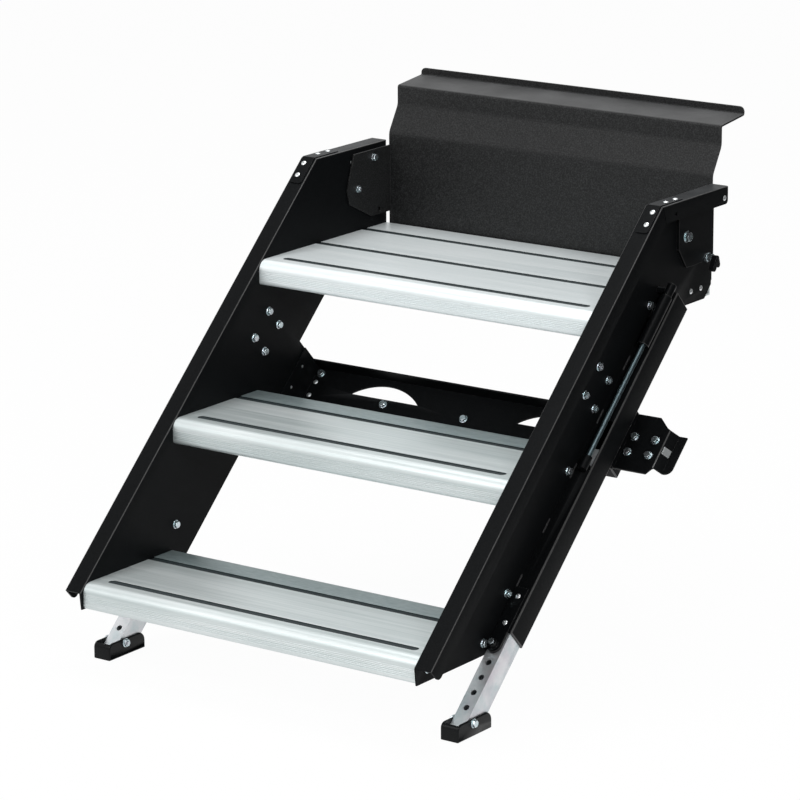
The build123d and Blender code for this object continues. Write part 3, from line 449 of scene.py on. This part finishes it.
# %% Steel, bronze, rubber and plastic
MARK_WEAR, SCUFF_WEAR = 0.12, 0.2
SCUFF_START, SCUFF_GAIN, SCUFF_PALE, SCUFF_LIFT = 0.45, 0.8, 2.2, 0.003
MOULDED_GLOSS, MOULDED_DEPTH = 0.16, 0.3 * MM


def plain_metal(name, colour, rough, shade=0.8, scale=260):
    """Bare metal with a faint mark in its tone and roughness."""
    f = Finish(name)
    mark = f.noise(scale, detail=3, rough=0.6)
    tone = f.blend(mark, colour, [v * shade for v in colour])
    normal = f.bump(mark, strength=0.1, distance=MARK_DEPTH)
    return f.finished(base_color=tone, roughness=rough + mark * MARK_WEAR, metallic=1.0, normal=normal)


def moulded(name, colour, rough, grain_size):
    """Moulded rubber or plastic: fine grain, and scuffs where it is handled."""
    f = Finish(name)
    grain = f.noise(scale=1 / grain_size, detail=2, rough=0.5)
    scuff = f.noise(scale=22, detail=4, rough=0.6)
    tone = f.blend(scuff.above(SCUFF_START, SCUFF_GAIN), colour, paler(colour, SCUFF_PALE, SCUFF_LIFT))
    worn = rough + scuff.swing(SCUFF_WEAR)
    normal = f.bump(grain, strength=0.2, distance=MOULDED_DEPTH)
    return f.finished(base_color=tone, roughness=worn, specular_ior_level=MOULDED_GLOSS, normal=normal)


rod_steel = plain_metal("rod_steel", (0.22, 0.30, 0.33), rough=0.34, shade=0.85, scale=60)
bush_bronze = plain_metal("bush_bronze", (0.50, 0.34, 0.17), rough=0.35)
# The pit's dark metal is painted shade for the hole that the snapped pin leaves.
painted_pit_shade = plain_metal("painted_pit_shade", (0.05, 0.06, 0.065), rough=0.4)
foot_rubber = moulded("foot_rubber", (0.0015, 0.0022, 0.0026), rough=0.28, grain_size=0.8 * MM)
knob_plastic = moulded("knob_plastic", (0.005, 0.005, 0.006), rough=0.34, grain_size=0.6 * MM)
print("small finishes:", rod_steel.name, bush_bronze.name, painted_pit_shade.name, foot_rubber.name, knob_plastic.name)

# %% [markdown]
# Each node of the measured model gets its finish by name. A dictionary with all 59 names would
# do the same, but most of the nodes are black steel, so the list reads from the general to the
# particular, and a later line wins.

# %% Give every node its finish
FINISHES = [
    ("", frame_coat),
    ("header_panel", panel_coat),
    ("lock_plate", plate_coat),
    ("strut_", plate_coat),
    ("strut_rod", rod_steel),
    ("leg_", leg_zinc),
    ("foot_left", foot_rubber),
    ("foot_right", foot_rubber),
    ("foot_bolt", fastener_zinc),
    ("foot_nut", fastener_zinc),
    ("latch_", fastener_zinc),
    ("latch_knob", knob_plastic),
    ("lock_pin", fastener_zinc),
    ("lock_spring", rod_steel),
    ("bumper_pads", rivet_zinc),
    ("ear_screws", fastener_zinc),
    ("pivot_bushes", bush_bronze),
]
FASTENER_WORDS = {"_bolts": fastener_zinc, "_nuts": fastener_zinc, "_rivets": rivet_zinc}


def finish_for(node):
    """The finish of a node, from its name."""
    if node in tread_finishes:
        return tread_finishes[node]
    chosen = [finish for start, finish in FINISHES if node.startswith(start)]
    chosen += [finish for word, finish in FASTENER_WORDS.items() if node.endswith(word)]
    return chosen[-1]


for name, piece in nodes.items():
    for place in piece.material_slots:
        place.material = finish_for(name)
print("finished nodes:", len(nodes))

# %% [markdown]
# No pressed or sawn edge is perfectly sharp, and the photograph shows each one as a thin bright
# line. A shader can fake that line, but only real geometry shows in the outline too. The CAD
# mesh is loose triangles, so a copy has its doubles merged and its flat faces joined first.
# Otherwise every triangle's edge would be rounded.

# %% Join the CAD triangles
SHARP = radians(34)
FLAT = radians(0.6)
JOINED = 0.004 * MM


def shade_smooth(shape):
    """Shade the faces smooth and mark the edges that turn sharply."""
    for face in shape.faces:
        face.smooth = True
    for edge in shape.edges:
        edge.smooth = edge.calc_face_angle(0) < SHARP


def joined_copy(node):
    """A copy of a node's mesh with its doubles merged and its flat faces joined."""
    mesh = nodes[node].data.copy()
    shape = bmesh.new()
    shape.from_mesh(mesh)
    bmesh.ops.remove_doubles(shape, verts=shape.verts, dist=JOINED)
    bmesh.ops.dissolve_limit(shape, angle_limit=FLAT, verts=shape.verts, edges=shape.edges)
    shade_smooth(shape)
    shape.to_mesh(mesh)
    shape.free()
    return mesh


flat_faces = len(joined_copy("header_panel").polygons)
print("door panel:", len(nodes["header_panel"].data.polygons), "triangles,", flat_faces, "joined faces")

# %% [markdown]
# The stringers, ears, channels and the cross member are sheet that a press brake folded. The
# outside of each bend has a radius of about the sheet's thickness, and the coat shines there.
# One round for all edges would soften the cut edges of the sheet just as much, so the bends
# are found first. A bend is told from a cut edge by its neighbours: both faces beside it reach
# further than twice the sheet's thickness.

# %% Round the bends of the sheet
FOLDED = ("stringer_", "ear_bracket_", "cross_member", "corner_cap_", "rail_")
FOLD_ROUND, FOLD_STEPS = 2.0 * MM, 4
FOLD_LENGTH = 40 * MM
THICKEST_SHEET = 2.6 * MM


def reach_from(edge, face):
    """How far a face reaches from one of its edges."""
    start, end = (corner.co for corner in edge.verts)
    along = (end - start).normalized()
    offsets = [corner.co - start for corner in face.verts]
    return max((offset - along * offset.dot(along)).length for offset in offsets)


def is_fold(edge):
    """Whether a long edge is the outside of a bend and not the edge of the sheet."""
    if not edge.is_convex or edge.calc_length() < FOLD_LENGTH or edge.calc_face_angle(0) < SHARP:
        return False
    return all(reach_from(edge, face) > 2 * THICKEST_SHEET for face in edge.link_faces)


def fold_rounded(mesh):
    """Round the outside of each bend and give it the paler edge coat, partly a painted highlight; says how
    many bends there were.
    """
    shape = bmesh.new()
    shape.from_mesh(mesh)
    folds = [edge for edge in shape.edges if is_fold(edge)]
    mesh.materials.append(edge_highlight_coat)
    bmesh.ops.bevel(shape, geom=folds, offset=FOLD_ROUND, segments=FOLD_STEPS, profile=0.5,
                    affect="EDGES", clamp_overlap=True, material=1)
    shade_smooth(shape)
    shape.to_mesh(mesh)
    shape.free()
    return len(folds)


folded = {name: joined_copy(name) for name in sorted(nodes) if name.startswith(FOLDED)}
bends = {name: fold_rounded(mesh) for name, mesh in folded.items()}
print("bends rounded:", bends)

# %% [markdown]
# The other edges are rounded by a Bevel modifier, which finds every edge that turns sharply.
# Hardened normals keep the flats flat. Sheet metal gets about half a millimetre, the legs and
# the moulded feet about two. A bevel can tear a small shape, so the volume of each piece is
# measured before and after, and a piece that fails keeps its CAD mesh. Springs and bushes are
# left as they are, because their wire and bore are round already.

# %% Round the sharp edges
EDGE_ROUNDS = [
    ("", 0.5 * MM),
    ("header_panel", 0.7 * MM),
    ("leg_", 1.8 * MM),
    ("foot_", 2.2 * MM),
    ("foot_bolt", 0.4 * MM),
    ("foot_nut", 0.4 * MM),
    ("latch_knob", 0.6 * MM),
]
EDGE_STEPS = 2
KEPT_SHARP = ["latch_springs", "lock_springs", "pivot_bushes"]
COATS_WITH_EDGE_HIGHLIGHT = (frame_coat, panel_coat, plate_coat)
LEAST_LEFT, MOST_LEFT = 0.85, 1.005


def baked(piece):
    """The piece with its modifiers turned into plain mesh."""
    seen = piece.evaluated_get(bpy.context.evaluated_depsgraph_get())
    mesh = bpy.data.meshes.new_from_object(seen)
    piece.modifiers.clear()
    piece.data = mesh
    return piece


def volume(mesh):
    """The space a closed mesh holds, and how many of its edges are open."""
    shape = bmesh.new()
    shape.from_mesh(mesh)
    found = shape.calc_volume()
    loose = sum(not edge.is_manifold for edge in shape.edges)
    shape.free()
    return found, loose


def softened(name, mesh, width):
    """A piece with its sharp edges rounded, or nothing where the rounding fails."""
    piece = bpy.data.objects.new(name, mesh)
    bpy.context.scene.collection.objects.link(piece)
    before, _ = volume(mesh)
    edges = piece.modifiers.new("edges", "BEVEL")
    edges.width, edges.segments = width, EDGE_STEPS
    edges.limit_method, edges.angle_limit = "ANGLE", SHARP
    edges.harden_normals = True
    edges.miter_outer = "MITER_ARC"
    # The rounded edges of the black coats take the paler edge coat, partly a painted highlight.
    if mesh.materials[0] in COATS_WITH_EDGE_HIGHLIGHT:
        if len(mesh.materials) == 1:
            mesh.materials.append(edge_highlight_coat)
        edges.material = 1
    baked(piece)
    after, loose = volume(piece.data)
    if loose or not LEAST_LEFT < after / before < MOST_LEFT:
        bpy.data.objects.remove(piece)
        return None
    return piece


edged = {}
for name in sorted(set(nodes) - set(KEPT_SHARP)):
    mesh = folded[name] if name in folded else joined_copy(name)
    width = [size for start, size in EDGE_ROUNDS if name.startswith(start)][-1]
    piece = softened(name + "_edged", mesh, width)
    if piece:
        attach(piece, nodes[name]["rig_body"])
        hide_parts(name)
        edged[name] = piece
print("rounded:", len(edged), "left as they are:", sorted(set(nodes) - set(edged)))

# %% [markdown]
# Rivets and bolts carry small details at their ends, so their ends are needed first. They could
# be copied from the CAD script as numbers, but the mesh already knows them. A node is split
# into its separate solids. A rivet or a bolt turns about its own axis, and its corners tell
# where that is: they spread alike in the two directions across it. The thicker end is the head.

# %% Find the ends of every fastener
END_BAND = 0.12


def solids_of(node):
    """The separate solids of a node, each as an array of its corners."""
    shape = bmesh.new()
    shape.from_mesh(nodes[node].data)
    bmesh.ops.remove_doubles(shape, verts=shape.verts, dist=JOINED)
    left = set(shape.verts)
    found = []
    while left:
        waiting, group = [left.pop()], []
        while waiting:
            corner = waiting.pop()
            group.append(corner.co[:])
            for edge in corner.link_edges:
                other = edge.other_vert(corner)
                if other in left:
                    left.remove(other)
                    waiting.append(other)
        found.append(np.array(group))
    shape.free()
    return sorted(found, key=lambda points: tuple(points.mean(0).round(5)))


def head_and_tail(points):
    """The tip of the head, the tip of the tail, the direction from tail to head, and the tail's radius."""
    middle = (points.min(0) + points.max(0)) / 2
    spread, axes = np.linalg.eigh(np.cov((points - middle).T))
    odd = 2 if spread[1] / spread[0] < spread[2] / spread[1] else 0
    axis = axes[:, odd]
    along = (points - middle) @ axis
    across = np.linalg.norm((points - middle) - np.outer(along, axis), axis=1)
    low, high = along.min(), along.max()
    band = END_BAND * (high - low)
    low_radius, high_radius = across[along < low + band].max(), across[along > high - band].max()
    if low_radius > high_radius:
        axis, low, high, low_radius = -axis, -high, -low, high_radius
    return Vector(middle + axis * high), Vector(middle + axis * low), Vector(axis), low_radius


RIVETS = [name for name in sorted(nodes) if name.endswith("_rivets")]
BOLTS = [name for name in sorted(nodes) if name.endswith("_bolts") or name.startswith("foot_bolt")]
rivet_ends = [head_and_tail(points) for name in RIVETS for points in solids_of(name)]
bolt_ends = {name: [head_and_tail(points) for points in solids_of(name)] for name in BOLTS}
print("rivets:", len(rivet_ends), "bolts:", sum(len(ends) for ends in bolt_ends.values()))

# %% [markdown]
# Small things that repeat are made once and set out by Geometry Nodes: the broken pin in each
# blind rivet, the turns of thread at each bolt's end and the scales of each weld. A Python loop
# could copy a mesh as well, but a tree keeps the shape and its sizes in one place. These
# helpers add a node, name a tree's inputs, close it with Realize Instances and Set Material,
# and turn its result into a plain mesh that rides on one body.

# %% Helpers for the node trees
AIM = "aim"


def new_tree(name, sizes):
    """A node tree with its geometry sockets and one named input for each size."""
    tree = bpy.data.node_groups.new(name, "GeometryNodeTree")
    tree.interface.new_socket("Geometry", in_out="INPUT", socket_type="NodeSocketGeometry")
    tree.interface.new_socket("Geometry", in_out="OUTPUT", socket_type="NodeSocketGeometry")
    for size, (kind, default) in sizes.items():
        socket = tree.interface.new_socket(size, in_out="INPUT", socket_type=kind)
        socket.default_value = default
    return tree, tree.nodes.new("NodeGroupInput").outputs, tree.nodes.new("NodeGroupOutput")


def add(tree, kind, links=None, **settings):
    """Add a geometry node: its settings, then its inputs' values or links; gives its outputs."""
    made = tree.nodes.new(kind)
    for key, value in settings.items():
        setattr(made, key, value)
    for key, value in (links or {}).items():
        if isinstance(value, bpy.types.NodeSocket):
            tree.links.new(value, made.inputs[key])
        else:
            made.inputs[key].default_value = value
    return made.outputs


def aimed_turn(tree):
    """The turn that points an instance's Z along its point's aim."""
    aim = add(tree, "GeometryNodeInputNamedAttribute", {"Name": AIM}, data_type="FLOAT_VECTOR")
    return add(tree, "FunctionNodeAlignRotationToVector", {"Vector": aim[0]}, axis="Z")[0]


def end_tree(tree, geometry, finish, out):
    """Close a tree with Realize Instances and Set Material."""
    real = add(tree, "GeometryNodeRealizeInstances", {"Geometry": geometry})
    coloured = add(tree, "GeometryNodeSetMaterial", {"Geometry": real[0], "Material": finish})
    tree.links.new(coloured[0], out.inputs[0])
    return tree


def set_out(name, tree, points, aims, sizes, body):
    """Run a tree over points with aims and keep the result as a plain mesh on a body."""
    mesh = bpy.data.meshes.new(name)
    mesh.from_pydata([tuple(point) for point in points], [], [])
    aim = mesh.attributes.new(AIM, "FLOAT_VECTOR", "POINT")
    for place, direction in zip(aim.data, aims):
        place.vector = direction
    piece = bpy.data.objects.new(name, mesh)
    bpy.context.scene.collection.objects.link(piece)
    layout = piece.modifiers.new("layout", "NODES")
    layout.node_group = tree
    for item in tree.interface.items_tree:
        if item.in_out == "INPUT" and item.name in sizes:
            layout[item.identifier] = sizes[item.name]
    baked(piece)
    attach(piece, body)
    return piece


print("tree helpers ready")

# %% [markdown]
# A blind rivet is set by pulling a pin through it until the pin snaps, which leaves a dark pit
# and a bright stub in the head. A bolt's end shows its thread. Both are rings: a wire bent
# round a circle, and for the thread a short row of rings at the thread's pitch. A true helix
# would need many more faces for two turns that are a millimetre apart.

# %% Rings on fastener ends
RING_SIDES, WIRE_SIDES = 20, 6


def ring_tree(name, finish):
    """A row of rings at each point, looking along the point's aim."""
    sizes = {"Ring radius": ("NodeSocketFloat", 1.0 * MM), "Wire radius": ("NodeSocketFloat", 0.2 * MM),
             "Count": ("NodeSocketInt", 1), "Pitch": ("NodeSocketFloat", 1.0 * MM)}
    tree, start, out = new_tree(name, sizes)
    circle = add(tree, "GeometryNodeCurvePrimitiveCircle",
                 {"Resolution": RING_SIDES, "Radius": start["Ring radius"]})
    wire = add(tree, "GeometryNodeCurvePrimitiveCircle",
               {"Resolution": WIRE_SIDES, "Radius": start["Wire radius"]})
    ring = add(tree, "GeometryNodeCurveToMesh", {"Curve": circle[0], "Profile Curve": wire[0]})
    step = add(tree, "ShaderNodeCombineXYZ", {"Z": start["Pitch"]})
    row = add(tree, "GeometryNodeMeshLine", {"Count": start["Count"], "Offset": step[0]})
    rings = add(tree, "GeometryNodeInstanceOnPoints", {"Points": row[0], "Instance": ring[0]})
    placed = add(tree, "GeometryNodeInstanceOnPoints",
                 {"Points": start[0], "Instance": rings[0], "Rotation": aimed_turn(tree)})
    return end_tree(tree, placed[0], finish, out)


pit_tree = ring_tree("rivet_pit", painted_pit_shade)
pin_tree = ring_tree("rivet_pin", rivet_zinc)
thread_tree = ring_tree("thread_turns", fastener_zinc)
print("ring trees:", pit_tree.name, pin_tree.name, thread_tree.name)

# %% [markdown]
# The pit is a thin ring that is half sunk in the rivet's crown and painted dark as the shade of the
# hole, and the stub is a thick ring that closes on itself. A real hole in each head would cost
# more faces and look the same from where a person stands. All rivets are on the frame, so one
# mesh of each holds them all.

# %% Pits and pins in the rivets
PIT = {"Ring radius": 1.15 * MM, "Wire radius": 0.28 * MM}
PIN = {"Ring radius": 0.42 * MM, "Wire radius": 0.44 * MM}
PIT_SUNK = 0.12 * MM
rivet_tops = [head - axis * PIT_SUNK for head, _, axis, _ in rivet_ends]
rivet_aims = [axis for _, _, axis, _ in rivet_ends]
pits = set_out("rivet_pits", pit_tree, rivet_tops, rivet_aims, PIT, "frame")
pins = set_out("rivet_pins", pin_tree, rivet_tops, rivet_aims, PIN, "frame")
print("faces in pits:", len(pits.data.polygons), "in pins:", len(pins.data.polygons))

# %% [markdown]
# Every bolt shows two turns of thread at its end. They start half a millimetre from the tip and
# take the radius of the bolt's own shank. The nuts hide the rest, so it isn't made. Each node of
# bolts gets one mesh that rides with it.

# %% Turns of thread on the bolts
THREAD_WIRE, THREAD_PITCH, THREAD_TURNS, THREAD_START = 0.3 * MM, 1.0 * MM, 2, 0.5 * MM
for name, ends in bolt_ends.items():
    starts = [tail + axis * THREAD_START for _, tail, axis, _ in ends]
    aims = [axis for _, _, axis, _ in ends]
    shank = float(ends[0][3])
    turns = {"Ring radius": shank, "Wire radius": THREAD_WIRE, "Count": THREAD_TURNS, "Pitch": THREAD_PITCH}
    set_out(name + "_thread", thread_tree, starts, aims, turns, nodes[name]["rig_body"])
print("nodes of bolts with thread:", len(bolt_ends))

# %% [markdown]
# The channel that guides each leg is welded to the stringer in short stitches, because a long
# seam would pull the sheet out of true. A stitch could be one smooth bead, but a hand-made one
# is a row of overlapping scales. Each scale is a flattened ball that the welder's hand left a
# little out of line, so the tree gives it a random size and shift from a fixed seed.

# %% One weld scale
SCALE_SIZE, SCALE_FLATNESS, SCALE_SPREAD = 1.9 * MM, 0.55, 0.14
WANDER = (0.3 * MM, 0.3 * MM, 0.2 * MM)
WELD_SEED = 7
WELD_BLACK = (0.008, 0.008, 0.009)
weld_steel = powder_coat("weld_steel", WELD_BLACK, grain_size=1.1 * MM, grain=0.8, rough=0.40, gloss=0.3)


def weld_tree():
    """A flattened ball at each point, each a little different in size and place."""
    sizes = {"Scale radius": ("NodeSocketFloat", SCALE_SIZE), "Flatness": ("NodeSocketFloat", SCALE_FLATNESS),
             "Seed": ("NodeSocketInt", WELD_SEED)}
    tree, start, out = new_tree("weld_scales", sizes)
    ball = add(tree, "GeometryNodeMeshIcoSphere", {"Radius": start["Scale radius"], "Subdivisions": 2})
    smooth = add(tree, "GeometryNodeSetShadeSmooth", {"Geometry": ball[0]})
    size = add(tree, "ShaderNodeCombineXYZ", {"X": 1.0, "Y": 1.0, "Z": start["Flatness"]})
    growth = add(tree, "FunctionNodeRandomValue",
                 {"Min": 1 - SCALE_SPREAD, "Max": 1 + SCALE_SPREAD, "Seed": start["Seed"]}, data_type="FLOAT")
    grown = add(tree, "ShaderNodeVectorMath", {0: size[0], "Scale": growth[1]}, operation="SCALE")
    placed = add(tree, "GeometryNodeInstanceOnPoints",
                 {"Points": start[0], "Instance": smooth[0], "Rotation": aimed_turn(tree), "Scale": grown[0]})
    low = add(tree, "ShaderNodeCombineXYZ", dict(zip("XYZ", [-reach for reach in WANDER])))
    high = add(tree, "ShaderNodeCombineXYZ", dict(zip("XYZ", WANDER)))
    shift = add(tree, "FunctionNodeRandomValue",
                {"Min": low[0], "Max": high[0], "Seed": start["Seed"]}, data_type="FLOAT_VECTOR")
    moved = add(tree, "GeometryNodeSetPosition", {"Geometry": placed[0], "Offset": shift[0]})
    return end_tree(tree, moved[0], weld_steel, out)


scale_tree = weld_tree()
print("radius of a weld scale in mm:", round(SCALE_SIZE / MM, 1))

# %% [markdown]
# The stitches sit in the corner where the channel meets the web of the stringer. Their places
# could be typed in, but the channel's own reach along the slope gives them, so they follow it
# if it is ever made longer. The left side is the right side with its X turned about.

# %% Weld stitches along the channels
STITCHES, STITCH_LENGTH, SCALE_PITCH = 6, 24 * MM, 1.3 * MM
FREE_BELOW, FREE_ABOVE = 3 * STITCH_LENGTH, STITCH_LENGTH
WEB_SHEET, WELD_OFF = 2.5 * MM, 0.5 * MM


def slope_reach(node):
    """How far a node reaches up the slope, and how near it comes to the flange."""
    corners = [corner.co - DATUM for corner in nodes[node].data.vertices]
    along = [corner.dot(UP_SLOPE) for corner in corners]
    return min(along), max(along), min(-corner.dot(OUT) for corner in corners)


def stitch_places(side):
    """The places of all scales on one side, from the lowest stitch to the highest."""
    low, high, front = slope_reach("rail_right")
    first, last = low + FREE_BELOW, high - FREE_ABOVE - STITCH_LENGTH
    places = []
    for number in range(STITCHES):
        begin = first + (last - first) * number / (STITCHES - 1)
        for step in range(int(STITCH_LENGTH / SCALE_PITCH)):
            place = on_slope(WEB_SHEET + WELD_OFF, begin + step * SCALE_PITCH, front - WELD_OFF)
            places.append((side * place.x, place.y, place.z))
    return places


for side, word in ((1, "right"), (-1, "left")):
    places = stitch_places(side)
    aims = [Vector((side, 0, 0)) + OUT] * len(places)
    set_out("rail_welds_" + word, scale_tree, places, aims, {"Scale radius": SCALE_SIZE}, "frame")
    print("weld scales on the", word, "channel:", len(places))

# %% [markdown]
# The picture has a white background. A white floor can be lit until it burns out, but that
# light would wash over the object too. So the floor is white by itself to the camera, to
# reflections and through glass, and it stays a plain matt floor to every other ray. A small
# share of the matt floor is always seen, which keeps a trace of the shadow.

# %% Floor
FLOOR_HALF = 15.0
FLOOR_MATT, FLOOR_SEEN = (0.9, 0.9, 0.9), 0.97
WHITE = (1, 1, 1)
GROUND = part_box("foot_right")[0].z


def plate(name, corners, finish):
    """A flat board between four corners."""
    mesh = bpy.data.meshes.new(name)
    mesh.from_pydata(corners, [], [(0, 1, 2, 3)])
    mesh.materials.append(finish.material)
    board = bpy.data.objects.new(name, mesh)
    bpy.context.scene.collection.objects.link(board)
    return board


def seen_directly(tree):
    """1 for rays that reach the eye, by way of a mirror or a glass too, and 0 for light."""
    ray = tree.node("ShaderNodeLightPath")
    return (ray["Is Camera Ray"] + ray["Is Glossy Ray"] + ray["Is Transmission Ray"]).clamped()


floor_finish = Finish("floor_white")
matt = floor_finish.node("ShaderNodeBsdfDiffuse", {}, {"Color": FLOOR_MATT})[0]
glow = floor_finish.node("ShaderNodeEmission", {}, {"Color": WHITE, "Strength": 1.0})[0]
share = seen_directly(floor_finish) * FLOOR_SEEN
floor_finish.end_in(floor_finish.node("ShaderNodeMixShader", {}, {0: share, 1: matt, 2: glow})[0])
floor = plate("floor", [(-FLOOR_HALF, -FLOOR_HALF, GROUND), (FLOOR_HALF, -FLOOR_HALF, GROUND),
                        (FLOOR_HALF, FLOOR_HALF, GROUND), (-FLOOR_HALF, FLOOR_HALF, GROUND)], floor_finish)
print("floor at", round(GROUND / MM, 1), "mm")

# %% [markdown]
# Black paint in a white room turns grey, because it mirrors the room. Darker paint wouldn't help,
# and it would lose its bright edges, so a studio stands a black card beside the object, out of
# the picture. This one is seen by reflections only: it keeps the sides deep black and takes no
# light away.

# %% Black card
CARD_DARK = (0.02, 0.02, 0.02)
CARD_SIDE, CARD_FRONT, CARD_BACK, CARD_TOP = 1.0, -0.9, 3.4, 1.5
card_finish = Finish("black_card")
card_finish.end_in(card_finish.node("ShaderNodeBsdfDiffuse", {}, {"Color": CARD_DARK})[0])
card = plate("black_card", [(CARD_SIDE, CARD_FRONT, GROUND), (CARD_SIDE, CARD_BACK, GROUND),
                            (CARD_SIDE, CARD_BACK, CARD_TOP), (CARD_SIDE, CARD_FRONT, CARD_TOP)], card_finish)
card.visible_camera = card.visible_diffuse = card.visible_shadow = False
print("card height in m:", round(CARD_TOP - GROUND, 2))

# %% [markdown]
# The world is pale to the eye and to reflections in the same way, and gives the object only
# about a third of that light. A picture of a room would light it with more life, but the script
# stands alone and reads no picture. So the world only fills the shadows, and the lamps do the
# rest.

# %% World
SKY_COLOUR, SKY_LIGHT = (0.8, 0.8, 0.8), 0.35
world = bpy.data.worlds.new("studio")
bpy.context.scene.world = world
world.use_nodes = True
sky = Nodes(world.node_tree, "ShaderNodeOutputWorld")
strength = SKY_LIGHT + seen_directly(sky) * (1 - SKY_LIGHT)
sky.end_in(sky.node("ShaderNodeBackground", {}, {"Color": SKY_COLOUR, "Strength": strength})[0])
print("world light:", SKY_LIGHT)

# %% [markdown]
# Three soft lamps stand where a product studio has them: one in front, one above that is the
# largest, and a smaller one at the right, which draws the bright lines along the folds. Their
# power stays at a plain level, so that a colour renders about as it is written.

# %% Lamps
LAMPS = {
    "front": ((-1.2, -3.6, 2.2), 2.2, 45),
    "top": ((-0.2, 0.0, 3.4), 2.6, 90),
    "right": ((3.2, -2.4, 1.9), 0.8, 60),
}
LAMP_TARGET, LAMP_UP = Vector((0, -0.4, 0)), Vector((0, 0.3, 1))
for name, (place, size, power) in LAMPS.items():
    lamp = bpy.data.lights.new(name, "AREA")
    lamp.size, lamp.energy = size, power
    aimed(name, lamp, Vector(place), LAMP_TARGET - Vector(place), LAMP_UP)
print("lamps:", len(LAMPS))
